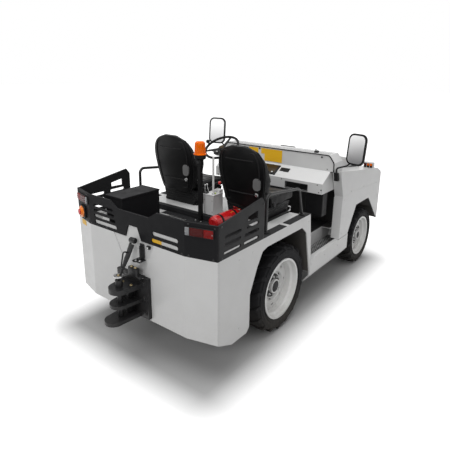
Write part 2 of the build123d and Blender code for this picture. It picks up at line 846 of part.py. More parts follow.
# Front body: side skins with arches, top plates, nose
front_outline = [  # distance, height
    (2020, sill_top + 6),
    (2040, 961),
    (1945, 1231),
    (3010, 1100),
    (3120, 1050),
    (body_length, 1020),
    (body_length, 462),
    (3126, 462),
    (2795, 790),
    (2427, 790),
    (2242, sill_top + 6),
]
top_plate = [
    (1945, 1231),
    (3010, 1100),
    (3120, 1050),
    (3120, 1040),
    (3010, 1090),
    (1945, 1221),
]
rear_flange = [
    (2020, sill_top + 6),
    (2040, 961),
    (1945, 1221),
    (1957, 1221),
    (2052, 961),
    (2032, sill_top + 6),
]
front_plate_inner = half_width - 190
front_housing = [
    (2268, 522),
    (2315, 640),
    (2427, 805),
    (2860, 805),
    (3090, 600),
    (3122, 470),
]
front_housing_x = rail_x + rail_width / 2 + housing_wall + gap
with BuildPart() as front_fenders:
    for side in (-1, 1):
        with BuildSketch(Plane.YZ.offset(outer_x if side > 0 else -half_width)):
            side_profile(front_outline)
        extrude(amount=skin)
        with BuildSketch(Plane.YZ.offset(front_plate_inner if side > 0 else -outer_x)):
            side_profile(top_plate)
        extrude(amount=outer_x - front_plate_inner)
        with BuildSketch(Plane.YZ.offset(flange_x if side > 0 else -outer_x)):
            side_profile(rear_flange)
        extrude(amount=outer_x - flange_x)
save(front_fenders, "front_fenders")
with BuildPart() as front_housings:
    for side in (-1, 1):
        with BuildSketch(Plane.YZ.offset(front_housing_x if side > 0 else -outer_x)):
            housing_section(front_housing, housing_wall)
        extrude(amount=outer_x - front_housing_x)
        with BuildSketch(Plane.YZ.offset(side * front_housing_x - (housing_wall if side > 0 else 0))):
            side_profile(front_housing)
        extrude(amount=housing_wall)
save(front_housings, "front_housings")

nose_thickness = 12
hood_hinge = (rear_y + 2962, 1122)
hood_hinge_x = 350
hood_pin_radius = 6
headlamp_radius = 78
headlamp_x = half_width - 190
headlamp_z = 800
grille_slots = 5
grille_pitch = 45
grille_low = 700
nose_run = (462, 1020)
with BuildPart() as nose:
    box_at(
        (-half_width + skin, half_width - skin),
        (body_length - nose_thickness, body_length),
        nose_run,
    )
    for side in (-1, 1):
        hole = (side * headlamp_x, front_y - nose_thickness / 2, headlamp_z)
        with Locations(Location(hole, (90, 0, 0))):
            Cylinder(headlamp_radius + gap, 3 * nose_thickness, mode=Mode.SUBTRACT)
    for level in range(grille_slots):
        with BuildSketch(Plane.XZ.offset(-front_y)):
            with Locations((0, grille_low + grille_pitch * level)):
                SlotOverall(560, 22)
        extrude(amount=nose_thickness, mode=Mode.SUBTRACT)
    with BuildSketch(Plane.YZ.offset(-front_plate_inner + 1)):
        side_profile(
            [
                (2953, 1097),
                (2953, 1107),
                (3010, 1100),
                (3120, 1050),
                (body_length, 1020),
                (3132, 1020),
                (3120, 1038),
                (3010, 1090),
            ]
        )
    extrude(amount=2 * front_plate_inner - 2)
    for side in (-1, 1):
        for ear in (-1, 1):
            ear_x = side * hood_hinge_x + ear * 22
            box_at((ear_x - 4, ear_x + 4), (2954, 2970), (1100, 1130))
        with Locations(Location((side * hood_hinge_x, *hood_hinge), (0, 90, 0))):
            Cylinder(hood_pin_radius, 48)
save(nose, "nose")

with BuildPart() as headlamps:
    for side in (-1, 1):
        with Locations(Location((side * headlamp_x, front_y - 30, headlamp_z), (90, 0, 0))):
            Cylinder(headlamp_radius, 56)
save(headlamps, "headlamps")

bumper_height = 100
with BuildPart() as bumper:
    box_at((-300, 300), (3110, body_length), (350, 350 + bumper_height))
    for side in (-1, 1):
        bracket = sorted((side * (rail_x - 30), side * (rail_x + 30)))
        box_at(bracket, (3104, 3130), (400, rail_top - 20))
save(bumper, "front_bumper")

# Hood over the electrics, hinged at its front edge
hood_wall = 6
hood_half = front_plate_inner - 8
hood_outline = [(2106, 1213), (2106, 1355), (2150, 1352), (2890, 1190), (2950, 1110)]
with BuildPart() as hood:
    with BuildSketch(Plane.YZ.offset(-hood_half)):
        side_profile(hood_outline)
    extrude(amount=2 * hood_half)
    with BuildSketch(Plane.YZ.offset(-hood_half + hood_wall)):
        side_profile([(2100, 1205), (2100, 1348), (2150, 1345), (2884, 1184), (2940, 1103)])
    extrude(amount=2 * (hood_half - hood_wall), mode=Mode.SUBTRACT)
    for side in (-1, 1):
        box_at((side * hood_hinge_x - 15, side * hood_hinge_x + 15), (2936, 2962), (1114, 1126))
        with Locations(Location((side * hood_hinge_x, *hood_hinge), (0, 90, 0))):
            Cylinder(12, 30)
            Cylinder(hood_pin_radius + gap, 30, mode=Mode.SUBTRACT)
save(hood, "hood")

# Steering axis: it climbs towards the driver from the dash
wheel_centre = (-400, rear_y + 1530, 1400)
column_pitch = 60
column_radius = 48
column_axis = (0, -cos(radians(column_pitch)), sin(radians(column_pitch)))
column_plane = Plane(wheel_centre, x_dir=(1, 0, 0), z_dir=column_axis)

# Cowl behind the hood, dash shelf and fascia
cowl_start = 1905
cowl_length = 195
with BuildPart() as cowl:
    for inset, mode in ((0, Mode.ADD), (10, Mode.SUBTRACT)):
        with BuildSketch(Plane.XZ.offset(-(rear_y + cowl_start + inset))):
            with BuildLine():
                Polyline(
                    (-690 + inset, 1205 - inset),
                    (-690 + inset, 1316 - inset / 2),
                    (-635 + inset / 2, 1388 - inset),
                    (635 - inset / 2, 1388 - inset),
                    (690 - inset, 1316 - inset / 2),
                    (690 - inset, 1205 - inset),
                    close=True,
                )
            make_face()
        extrude(amount=-cowl_length, mode=mode)
    with BuildSketch(Plane.YZ.offset(-half_width)):
        side_profile(
            [
                (1900, 1190),
                (1900, 1231 + gap),
                (1945, 1231 + gap),
                (2105, 1211.4 + gap),
                (2105, 1190),
            ]
        )
    extrude(amount=2 * half_width, mode=Mode.SUBTRACT)
save(cowl, "cowl")

dash_half = half_width - 95
dash_top = 1215
with BuildPart() as dash:
    with BuildSketch(Plane.YZ.offset(-dash_half)):
        side_profile(
            [
                (1905, 1231),
                (1890, 1215),
                (1750, 1132),
                (1750, 1030),
                (1760, 1030),
                (1760, 1126),
                (1897, 1206),
                (1915, 1231),
            ]
        )
    extrude(amount=2 * dash_half)
    for side in (-1, 1):
        with BuildSketch(Plane.YZ.offset(dash_half - 8 if side > 0 else -dash_half)):
            side_profile(
                [
                    (1750, 1030),
                    (1750, 1132),
                    (1890, 1215),
                    (1944, 1215),
                    (2036, 1200),
                    (2036, 1030),
                ]
            )
        extrude(amount=8)
    box_at((248, 496), (1740, 1770), (1042, 1100), mode=Mode.SUBTRACT)
    with Locations(column_plane):
        Cylinder(column_radius + gap, 1000, mode=Mode.SUBTRACT)
    box_at((-20, 150), (1785, 1855), (1100, 1240), mode=Mode.SUBTRACT)
save(dash, "dash")

with BuildPart() as instrument_panel:
    with BuildSketch(Plane.YZ.offset(-40)):
        side_profile([(1775, 1134.4), (1865, 1186.9), (1865, 1150), (1775, 1098)])
    extrude(amount=210)
    box_at((460, 645), (1800, 1900), (790, 1149))
save(instrument_panel, "instrument_panel")

# Steering column and wheel
wheel_diameter = 380
rim_tube = 13
hub_height = 40
with BuildPart(column_plane) as steering_wheel:
    Torus(wheel_diameter / 2 - rim_tube, rim_tube)
    with Locations((0, 0, -hub_height / 2)):
        Cylinder(42, hub_height)
    for angle in (90, 210, 330):
        with Locations(Location((0, 0, 0), (0, 0, angle))):
            with Locations(((wheel_diameter / 2 - rim_tube) / 2 + 15, 0, -6)):
                Box(wheel_diameter / 2 - 2 * rim_tube - 4, 30, 10)
save(steering_wheel, "steering_wheel")
shroud_length = 240
shaft_radius = 24
with BuildPart(column_plane) as steering_column:
    with Locations((0, 0, -hub_height - gap - shroud_length / 2)):
        Cylinder(column_radius, shroud_length)
    with Locations((0, 0, -hub_height - shroud_length - 350)):
        Cylinder(shaft_radius, 700)
with BuildPart() as trimmed_column:
    add(steering_column.part)
    box_at((-500, -300), (1800, 2200), (400, floor_level + gap), mode=Mode.SUBTRACT)
save(trimmed_column, "steering_column")

# Pedals hang below the dash in front of the driver
with BuildPart() as pedals:
    for x_from, x_to in ((-420, -330), (-260, -200)):
        with BuildSketch(Plane.YZ.offset(x_from)):
            side_profile([(2150, 690), (2235, 640), (2240, 648), (2155, 699)])
        extrude(amount=x_to - x_from)
        middle = (x_from + x_to) / 2
        box_at((middle - 8, middle + 8), (2190, 2206), (floor_level, 665))
save(pedals, "pedals")

# Mirrors on cranked arms from the front corners, turned towards the driver and tipped up
mirror_width = 204
mirror_height = 300
mirror_thickness = 22
mirror_distance = 2010
mirror_turn = radians(15)
mirror_tip = radians(6)
mirror_places = [  # side, distance from the middle, height of the centre
    (-1, half_width + 103, 1487),
    (1, half_width + 103, 1455),
]
arm_foot_x = half_width - 43
arm_distance = 2052
mirror_planes = []
for side, mirror_x, mirror_z in mirror_places:
    outward = Vector(
        -side * sin(mirror_turn) * cos(mirror_tip),
        -cos(mirror_turn) * cos(mirror_tip),
        sin(mirror_tip),
    )
    across = (cos(mirror_turn), -side * sin(mirror_turn), 0)
    mirror_planes.append(
        Plane((side * mirror_x, rear_y + mirror_distance, mirror_z), x_dir=across, z_dir=outward)
    )
with BuildPart() as mirror_arms:
    for (side, mirror_x, mirror_z), mirror_plane in zip(mirror_places, mirror_planes):
        with BuildLine() as arm_route:
            FilletPolyline(
                (side * arm_foot_x, rear_y + 1928, 1195),
                (side * arm_foot_x, rear_y + 1930, 1268),
                (side * (arm_foot_x + 50), rear_y + arm_distance, 1278),
                (side * mirror_x, rear_y + arm_distance, mirror_z - 90),
                (side * mirror_x, rear_y + arm_distance, mirror_z + 20),
                radius=18,
            )
        with BuildSketch(Plane(origin=arm_route.line @ 0, z_dir=arm_route.line % 0)):
            Circle(8)
        sweep(path=arm_route.line)
        with BuildSketch(Plane.YZ.offset(side * arm_foot_x - 20)):
            side_profile([(1974.3, 1140), (1945.1, 1220), (1918, 1220), (1930, 1140)])
        extrude(amount=40)
        with BuildSketch(mirror_plane.offset(-mirror_thickness - gap)):
            RectangleRounded(36, 36, 5)
        extrude(amount=-26)
save(mirror_arms, "mirror_arms")
with BuildPart() as mirrors:
    for mirror_plane in mirror_planes:
        with BuildSketch(mirror_plane):
            RectangleRounded(mirror_width, mirror_height, 60)
        extrude(amount=-mirror_thickness)
save(mirrors, "mirrors")

# Tow coupler: base plate, three jaw plates, side webs
coupler_half = 170
coupler_base = (365, 694)
jaw_plates = [  # bottom, top, half width, reach behind the rear face
    (600, 638, 95, 228),
    (486, 512, 90, 228),
    (372, 400, 90, 280),
]
pin_distance = -150
pin_radius = 19
pin_clearance = 1.5
with BuildPart() as tow_coupler:
    box_at((-coupler_half, coupler_half), (-30, 0), coupler_base)
    for bottom, top, half, reach in jaw_plates:
        with BuildSketch(Plane.XY.offset(bottom)):
            with BuildLine():
                Line((-half, rear_y - 30), (half, rear_y - 30))
                Line((half, rear_y - 30), (half * 0.8, rear_y - reach * 0.7))
                ThreePointArc(
                    (half * 0.8, rear_y - reach * 0.7),
                    (0, rear_y - reach),
                    (-half * 0.8, rear_y - reach * 0.7),
                )
                Line((-half * 0.8, rear_y - reach * 0.7), (-half, rear_y - 30))
            make_face()
        extrude(amount=top - bottom)
    with BuildSketch(Plane.YZ.offset(-12)):
        side_profile([(-30, 400), (-105, 400), (-75, 600), (-30, 600)])
    extrude(amount=24)
    with Locations((0, rear_y + pin_distance, 500)):
        Cylinder(pin_radius + pin_clearance, 320, mode=Mode.SUBTRACT)
save(tow_coupler, "tow_coupler")

# Tow pin with its slanting rod and head
rod_head = (0, rear_y - 18, 950)
rod_foot = (0, rear_y + pin_distance, 690)
with BuildPart() as tow_pin:
    with Locations((0, rear_y + pin_distance, (378 + 690) / 2)):
        Cylinder(pin_radius, 690 - 378)
    with Locations((0, rear_y + pin_distance, 638 + gap + 26)):
        Cylinder(27, 52)
    with BuildLine() as rod_route:
        Line(rod_foot, rod_head)
    with BuildSketch(Plane(origin=rod_foot, z_dir=rod_route.line % 0)):
        Circle(9)
    sweep(path=rod_route.line)
    with Locations(rod_head):
        Sphere(16)
save(tow_pin, "tow_pin")

# Tail lamps on the slanted corners, emergency stop on the left one
corner_angle = degrees(atan2(corner_depth, half_width - corner_x))
with BuildPart() as tail_lamps:
    for side in (-1, 1):
        lamp_x = side * 624
        lamp_y = rear_y + corner_depth * (624 - corner_x) / (half_width - corner_x)
        with Locations(Location((lamp_x, lamp_y - 6.6, 1149), (0, 0, side * corner_angle))):
            Box(205, 12, 62)
save(tail_lamps, "tail_lamps")
with BuildPart() as emergency_stop:
    stop_y = rear_y + corner_depth * (634 - corner_x) / (half_width - corner_x)
    with Locations(Location((-634, stop_y - 10.8, 1036), (0, 0, -corner_angle))):
        Box(90, 20, 90)
    with Locations(Location((-634, stop_y - 32, 1036), (90, 0, -corner_angle))):
        Cylinder(20, 24)
save(emergency_stop, "emergency_stop")

# Lamp pods on the front corners
with BuildPart() as lamp_pods:
    for side in (-1, 1):
        with BuildSketch(Plane.XY.offset(1105)):
            with Locations((side * 680, rear_y + 2905)):
                RectangleRounded(120, 70, 32)
        extrude(amount=70)
    with BuildSketch(Plane.YZ.offset(-half_width)):
        side_profile(
            [(1945, 1231 + gap), (3010, 1100 + gap), (3010, 1050), (1945, 1050)]
        )
    extrude(amount=2 * half_width, mode=Mode.SUBTRACT)
save(lamp_pods, "lamp_pods")
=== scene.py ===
"""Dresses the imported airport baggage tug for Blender: finishes, seats, lamps, controls and fittings."""

from math import atan2, cos, exp, pi, radians, sin

import bmesh
import bpy
from mathutils import Matrix, Vector


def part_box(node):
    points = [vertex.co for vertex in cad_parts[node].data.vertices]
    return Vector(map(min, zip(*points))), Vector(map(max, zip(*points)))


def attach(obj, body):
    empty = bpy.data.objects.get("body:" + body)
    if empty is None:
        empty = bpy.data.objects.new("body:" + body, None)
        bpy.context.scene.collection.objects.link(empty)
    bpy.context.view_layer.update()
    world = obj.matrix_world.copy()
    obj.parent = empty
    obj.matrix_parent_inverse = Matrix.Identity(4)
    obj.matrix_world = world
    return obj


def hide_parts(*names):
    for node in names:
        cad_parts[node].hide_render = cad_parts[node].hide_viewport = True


bl_info = {
    "name": "Baggage Tug Dressing",
    "version": (1, 0, 0),
    "blender": (4, 5, 0),
    "location": "View3D > Sidebar > Tug",
    "description": "Finishes, seats, lamps, controls and fittings of an airport baggage tug",
    "category": "Object",
}

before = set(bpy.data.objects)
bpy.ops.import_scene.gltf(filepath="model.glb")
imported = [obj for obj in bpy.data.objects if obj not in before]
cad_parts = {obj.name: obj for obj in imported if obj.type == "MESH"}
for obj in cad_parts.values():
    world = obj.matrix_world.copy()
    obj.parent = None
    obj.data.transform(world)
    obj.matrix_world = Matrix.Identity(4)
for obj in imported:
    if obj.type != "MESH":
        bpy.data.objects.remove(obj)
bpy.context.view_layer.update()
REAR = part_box("rear_wall")[0].y
X, Y, Z = Vector((1, 0, 0)), Vector((0, 1, 0)), Vector((0, 0, 1))
CORNER_REACH, CORNER_DEPTH = 0.236, 0.06  # how far a slanted rear corner runs across and forward
CORNER_TURN = atan2(CORNER_DEPTH, CORNER_REACH)
HALF_WIDTH = 0.75  # from the middle to the body's sides
DECK_TOP, CAB_FLOOR = 0.962, 0.6  # heights of the seat deck and of the cab's floor
# Distances forward of the rear face: the dash's and the cowl's rear faces, the nose's front
FASCIA, COWL_REAR, FRONT_FACE = 1.75, 1.905, 3.144
SHARP_ANGLE = radians(32.0)  # edges of the fittings that turn by more stay sharp


def at(x, distance, z):
    """Point in the frame from a distance forward of the rear face."""
    return Vector((x, REAR + distance, z))


# Node trees


class Tree:
    """Adds shader nodes to a tree and links them."""

    def __init__(self, tree):
        self.tree = tree

    def add(self, kind, inputs=None, **settings):
        node = self.tree.nodes.new("ShaderNode" + kind)
        for key, value in settings.items():
            setattr(node, key, value)
        for key, value in (inputs or {}).items():
            if isinstance(value, bpy.types.NodeSocket):
                self.tree.links.new(value, node.inputs[key])
            else:
                node.inputs[key].default_value = value
        return node

    def math(self, operation, first, second=0.0, clamp=False):
        return self.add("Math", {0: first, 1: second}, operation=operation, use_clamp=clamp).outputs[0]

    def noise(self, vector, scale, detail, roughness=0.5):
        values = {"Vector": vector, "Scale": scale, "Detail": detail, "Roughness": roughness}
        return self.add("TexNoise", values).outputs["Fac"]

    def span(self, value, low, high, to_low=0.0, to_high=1.0):
        values = {0: value, 1: low, 2: high, 3: to_low, 4: to_high}
        return self.add("MapRange", values, clamp=True).outputs[0]

    def seen(self):
        """Mask of what the camera, glass or a reflection looks at directly."""
        paths = self.add("LightPath").outputs
        direct = self.math("MAXIMUM", paths["Is Camera Ray"], paths["Is Transmission Ray"])
        return self.math("MAXIMUM", direct, paths["Is Glossy Ray"])

    def mix(self, share, first, second):
        node = self.add("Mix", {0: share}, data_type="RGBA")
        for index, value in ((6, first), (7, second)):
            if isinstance(value, bpy.types.NodeSocket):
                self.tree.links.new(value, node.inputs[index])
            else:
                node.inputs[index].default_value = value
        return node.outputs[2]


def shader_group(name, inputs, output):
    """New shader node group with float inputs and output; returns it, its tree, its inputs and its end."""
    group = bpy.data.node_groups.new(name, "ShaderNodeTree")
    for label, value in inputs:
        socket = group.interface.new_socket(label, in_out="INPUT", socket_type="NodeSocketFloat")
        socket.default_value = value
    group.interface.new_socket(output, in_out="OUTPUT", socket_type="NodeSocketFloat")
    tree = Tree(group)
    start = group.nodes.new("NodeGroupInput")
    end = group.nodes.new("NodeGroupOutput")
    return group, tree, start.outputs, end.inputs[output]


def object_place(tree):
    return tree.add("TexCoord").outputs["Object"]


def make_groups():
    """Effects that several finishes share."""
    groups = {}

    group, tree, given, end = shader_group("road_dust", [("Amount", 0.3), ("Top", 0.9)], "Mask")
    place = object_place(tree)
    height = tree.add("SeparateXYZ", {0: place}).outputs[2]
    low = tree.span(height, given["Top"], 0.1)
    broad = tree.span(tree.noise(place, 3.5, 6.0, 0.62), 0.35, 0.72)
    fine = tree.span(tree.noise(place, 38.0, 4.0, 0.7), 0.38, 0.66)
    patches = tree.math("MULTIPLY", tree.math("MULTIPLY", low, low), tree.math("ADD", broad, 0.25))
    mask = tree.math("MULTIPLY", patches, tree.math("MULTIPLY_ADD", fine, 0.6))
    mask.node.inputs[2].default_value = 0.4
    group.links.new(tree.math("MULTIPLY", mask, given["Amount"], clamp=True), end)
    groups["road_dust"] = group

    group, tree, given, end = shader_group("edge_wear", [("Amount", 0.5), ("Width", 0.004)], "Mask")
    place = object_place(tree)
    soft = tree.add("Bevel", {"Radius": given["Width"]}, samples=4).outputs[0]
    plain = tree.add("NewGeometry").outputs["Normal"]
    turn = tree.add("VectorMath", {0: soft, 1: plain}, operation="DOT_PRODUCT").outputs["Value"]
    edge = tree.span(turn, 0.97, 0.8)
    chips = tree.span(tree.noise(place, 55.0, 5.0, 0.75), 0.52, 0.62)
    rubbed = tree.math("MULTIPLY", edge, chips)
    group.links.new(tree.math("MULTIPLY", rubbed, given["Amount"], clamp=True), end)
    groups["edge_wear"] = group

    group, tree, given, end = shader_group("mottle", [("Scale", 6.0), ("Low", 0.0), ("High", 1.0)], "Value")
    cloud = tree.noise(object_place(tree), given["Scale"], 5.0, 0.6)
    group.links.new(tree.span(cloud, 0.3, 0.7, given["Low"], given["High"]), end)
    groups["mottle"] = group

    group, tree, given, end = shader_group("leather_grain", [("Scale", 260.0)], "Height")
    place = object_place(tree)
    wobble = tree.add("TexNoise", {"Vector": place, "Scale": 40.0}).outputs["Color"]
    bent = tree.add("VectorMath", {0: wobble, 3: 0.006}, operation="SCALE").outputs[0]
    moved = tree.add("VectorMath", {0: place, 1: bent}, operation="ADD").outputs[0]
    cells = tree.add("TexVoronoi", {"Vector": moved, "Scale": given["Scale"]}, feature="SMOOTH_F1")
    group.links.new(tree.span(cells.outputs["Distance"], 0.15, 0.75, 1.0, 0.0), end)
    groups["leather_grain"] = group

    group, tree, given, end = shader_group("fine_grain", [("Scale", 900.0), ("Broad", 60.0)], "Height")
    place = object_place(tree)
    small = tree.noise(place, given["Scale"], 2.0)
    wide = tree.noise(place, given["Broad"], 2.0)
    group.links.new(tree.math("ADD", tree.math("MULTIPLY", small, 0.35), wide), end)
    groups["fine_grain"] = group

    group, tree, given, end = shader_group("brushed", [("Scale", 40.0), ("Stretch", 30.0)], "Height")
    stretch = tree.add("CombineXYZ", {0: 1.0, 1: given["Stretch"], 2: given["Stretch"]}).outputs[0]
    drawn = tree.add("VectorMath", {0: object_place(tree), 1: stretch}, operation="MULTIPLY").outputs[0]
    group.links.new(tree.noise(drawn, given["Scale"], 3.0), end)
    groups["brushed"] = group

    return groups


GROUPS = {}
FINISHES = {}


def place_group(tree, name, **values):
    node = tree.add("Group")
    node.node_tree = GROUPS[name]
    for key, value in values.items():
        node.inputs[key].default_value = value
    return node.outputs[0]


def finish(
    name, colour, roughness, spread=0.08, grain="fine_grain", grain_scale=900.0, depth=0.00006,
    dust=0.0, dust_top=0.95, wear=0.0, under=(0.09, 0.085, 0.08), metallic=0.0, coat=0.0,
    round_edges=0.0015, tint=0.08, specular=0.5,
):
    """Opaque finish with mottled colour, road dust, rubbed edges, grain and softened edges."""
    material = bpy.data.materials.new(name)
    material.use_nodes = True
    tree = Tree(material.node_tree)
    shader = material.node_tree.nodes["Principled BSDF"]
    base = (*colour, 1.0)
    shade = (*(c * (1 - tint) for c in colour), 1.0)
    paint = tree.mix(place_group(tree, "mottle", Scale=5.0), shade, base)
    rough = place_group(tree, "mottle", Scale=14.0, Low=roughness - spread, High=roughness + spread)
    if wear:
        rubbed = place_group(tree, "edge_wear", Amount=wear)
        paint = tree.mix(rubbed, paint, (*under, 1.0))
        rough = tree.math("ADD", rough, tree.math("MULTIPLY", rubbed, 0.2))
    if dust:
        dirt = place_group(tree, "road_dust", Amount=dust, Top=dust_top)
        paint = tree.mix(dirt, paint, (0.24, 0.215, 0.185, 1.0))
        rough = tree.math("ADD", rough, tree.math("MULTIPLY", dirt, 0.4), clamp=True)
    values = {"Height": place_group(tree, grain, Scale=grain_scale), "Distance": depth}
    if round_edges:
        values["Normal"] = tree.add("Bevel", {"Radius": round_edges}, samples=4).outputs[0]
    relief = tree.add("Bump", values)
    links = material.node_tree.links
    links.new(paint, shader.inputs["Base Color"])
    links.new(rough, shader.inputs["Roughness"])
    links.new(relief.outputs[0], shader.inputs["Normal"])
    shader.inputs["Metallic"].default_value = metallic
    shader.inputs["Coat Weight"].default_value = coat
    shader.inputs["Coat Roughness"].default_value = 0.12
    shader.inputs["Specular IOR Level"].default_value = specular
    FINISHES[name] = material
    return material


def lens(name, colour, roughness=0.12, rib_scale=160.0, see_through=0.0, glow=0.0):
    """Moulded lamp lens: glossy plastic with fine ribs that scatter the light."""
    material = bpy.data.materials.new(name)
    material.use_nodes = True
    tree = Tree(material.node_tree)
    shader = material.node_tree.nodes["Principled BSDF"]
    place = object_place(tree)
    ribs = tree.add("TexWave", {"Vector": place, "Scale": rib_scale, "Distortion": 0.0}, bands_direction="Z")
    relief = tree.add("Bump", {"Height": ribs.outputs["Fac"], "Distance": 0.0006})
    deep = (*(c * 0.55 for c in colour), 1.0)
    tone = tree.mix(ribs.outputs["Fac"], deep, (*colour, 1.0))
    rough = place_group(tree, "mottle", Scale=30.0, Low=roughness * 0.6, High=roughness * 1.6)
    links = material.node_tree.links
    links.new(tone, shader.inputs["Base Color"])
    links.new(rough, shader.inputs["Roughness"])
    links.new(relief.outputs[0], shader.inputs["Normal"])
    shader.inputs["Transmission Weight"].default_value = see_through
    if glow:
        links.new(tone, shader.inputs["Emission Color"])
        shader.inputs["Emission Strength"].default_value = glow
    shader.inputs["Specular IOR Level"].default_value = 0.1
    shader.inputs["Coat Weight"].default_value = 0.03
    shader.inputs["Coat Roughness"].default_value = 0.05
    FINISHES[name] = material
    return material


def tint_by_place(material, share, colour):
    """Blends the paint of a finish into a colour by a share worked out from the object's coordinates."""
    tree = Tree(material.node_tree)
    socket = material.node_tree.nodes["Principled BSDF"].inputs["Base Color"]
    axes = tree.add("SeparateXYZ", {0: object_place(tree)}).outputs
    material.node_tree.links.new(tree.mix(share(tree, axes), socket.links[0].from_socket, colour), socket)


# Shapes: each is a bmesh, closed, with its faces outwards


def frame_matrix(centre, along):
    """Placement whose local Z runs along a direction."""
    axis_z = Vector(along).normalized()
    hint = X if abs(axis_z.x) < 0.9 else Y
    axis_y = axis_z.cross(hint).normalized()
    axis_x = axis_y.cross(axis_z).normalized()
    turn = Matrix((axis_x, axis_y, axis_z)).transposed().to_4x4()
    return Matrix.Translation(centre) @ turn


def round_off(shape, edges, radius, segments):
    if radius and edges:
        bmesh.ops.bevel(
            shape, geom=edges, offset=radius, segments=segments, profile=0.5,
            affect="EDGES", material=-1, clamp_overlap=True,
        )


def block(centre, size, radius=0.003, segments=3, turn=0.0, tilt=0.0):
    """Rounded block; turn is about Z and tilt about its own X."""
    shape = bmesh.new()
    bmesh.ops.create_cube(shape, size=1.0)
    bmesh.ops.scale(shape, vec=Vector(size), verts=shape.verts)
    round_off(shape, shape.edges[:], radius, segments)
    placed = Matrix.Translation(centre) @ Matrix.Rotation(turn, 4, "Z") @ Matrix.Rotation(tilt, 4, "X")
    bmesh.ops.transform(shape, matrix=placed, verts=shape.verts)
    return shape


def drum(centre, along, radius, length, soft=0.0015, sides=40, top=None):
    """Round bar or cone centred on a point, its rims rounded."""
    shape = bmesh.new()
    bmesh.ops.create_cone(
        shape, cap_ends=True, segments=sides, radius1=radius,
        radius2=radius if top is None else top, depth=length,
    )
    rims = [e for e in shape.edges if abs(e.verts[0].co.z - e.verts[1].co.z) < 1e-6]
    round_off(shape, rims, soft, 2)
    bmesh.ops.transform(shape, matrix=frame_matrix(centre, along), verts=shape.verts)
    return shape


def ball(centre, radius, along=Z, flat=1.0):
    shape = bmesh.new()
    bmesh.ops.create_uvsphere(shape, u_segments=24, v_segments=14, radius=radius)
    bmesh.ops.scale(shape, vec=Vector((1, 1, flat)), verts=shape.verts)
    bmesh.ops.transform(shape, matrix=frame_matrix(centre, along), verts=shape.verts)
    return shape


def turned(profile, centre, along=Z, steps=48):
    """Lathe shape from a closed profile of radii and heights."""
    shape = bmesh.new()
    points = [shape.verts.new((radius, 0.0, height)) for radius, height in profile]
    edges = [shape.edges.new(pair) for pair in zip(points, points[1:] + points[:1])]
    bmesh.ops.spin(
        shape, geom=points + edges, cent=(0, 0, 0), axis=(0, 0, 1), angle=2 * pi,
        steps=steps, use_merge=True,
    )
    bmesh.ops.remove_doubles(shape, verts=shape.verts, dist=1e-6)
    bmesh.ops.dissolve_degenerate(shape, edges=shape.edges, dist=1e-7)
    bmesh.ops.recalc_face_normals(shape, faces=shape.faces)
    bmesh.ops.transform(shape, matrix=frame_matrix(centre, along), verts=shape.verts)
    return shape


def plate(outline, thickness, radius=0.0, segments=2):
    """Flat outline in space given its thickness as a vector."""
    shape = bmesh.new()
    face = shape.faces.new([shape.verts.new(point) for point in outline])
    made = bmesh.ops.extrude_face_region(shape, geom=[face])
    moved = [g for g in made["geom"] if isinstance(g, bmesh.types.BMVert)]
    bmesh.ops.translate(shape, vec=Vector(thickness), verts=moved)
    bmesh.ops.recalc_face_normals(shape, faces=shape.faces)
    round_off(shape, shape.edges[:], radius, segments)
    return shape


def tube(points, radius, bend=0.03, sides=6):
    """Bar bent along straight runs with rounded corners, its ends closed."""
    curve = bpy.data.curves.new("bar", "CURVE")
    curve.dimensions = "3D"
    curve.bevel_depth = radius
    curve.bevel_resolution = sides
    curve.use_fill_caps = True
    points = [Vector(point) for point in points]
    rounded = points[:1]
    for last, point, following in zip(points, points[1:], points[2:]):
        before, after = last - point, following - point
        reach = min(bend, before.length * 0.45, after.length * 0.45)
        start, end = point + before.normalized() * reach, point + after.normalized() * reach
        for step in range(7):
            share = step / 6
            rounded.append(
                start * (1 - share) ** 2 + point * (2 * share * (1 - share)) + end * share**2
            )
    rounded.append(points[-1])
    line = curve.splines.new("POLY")
    line.points.add(len(rounded) - 1)
    for spot, point in zip(line.points, rounded):
        spot.co = (*point, 1.0)
    holder = bpy.data.objects.new("bar", curve)
    mesh = bpy.data.meshes.new_from_object(holder)
    shape = bmesh.new()
    shape.from_mesh(mesh)
    bpy.data.objects.remove(holder)
    bpy.data.curves.remove(curve)
    bpy.data.meshes.remove(mesh)
    bmesh.ops.remove_doubles(shape, verts=shape.verts, dist=1e-6)
    bmesh.ops.recalc_face_normals(shape, faces=shape.faces)
    return shape


def bolt(centre, along, size, washer=True):
    """Hexagon head on its washer; centre is on the face that it sits on."""
    direction = Vector(along).normalized()
    head = drum(centre + direction * size * 0.55, along, size, size * 0.7, size * 0.12, sides=6)
    if not washer:
        return [head]
    seat = centre + direction * size * 0.12
    return [head, drum(seat, along, size * 1.45, size * 0.24, size * 0.05, sides=20)]


def bolts(spots, along, size, index, washer=True):
    """Bolts of one size on a list of spots, each shape with its finish index."""
    return [(part, index) for spot in spots for part in bolt(Vector(spot), along, size, washer)]


def piece(name, shapes, body, finishes, replaces=()):
    """Joins shapes into one object that rides on a body; shapes are bmeshes or (bmesh, finish index)."""
    whole = bmesh.new()
    for entry in shapes:
        shape, index = entry if isinstance(entry, tuple) else (entry, 0)
        for face in shape.faces:
            face.material_index = index
        scratch = bpy.data.meshes.new("scratch")
        shape.to_mesh(scratch)
        shape.free()
        whole.from_mesh(scratch)
        bpy.data.meshes.remove(scratch)
    mesh = bpy.data.meshes.new(name)
    whole.to_mesh(mesh)
    whole.free()
    mesh.shade_smooth()
    mesh.set_sharp_from_angle(angle=SHARP_ANGLE)
    made = bpy.data.objects.new(name, mesh)
    bpy.context.scene.collection.objects.link(made)
    for label in [finishes] if isinstance(finishes, str) else finishes:
        mesh.materials.append(FINISHES[label])
    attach(made, body)
    if replaces:
        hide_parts(*replaces)
    return made


# Settings


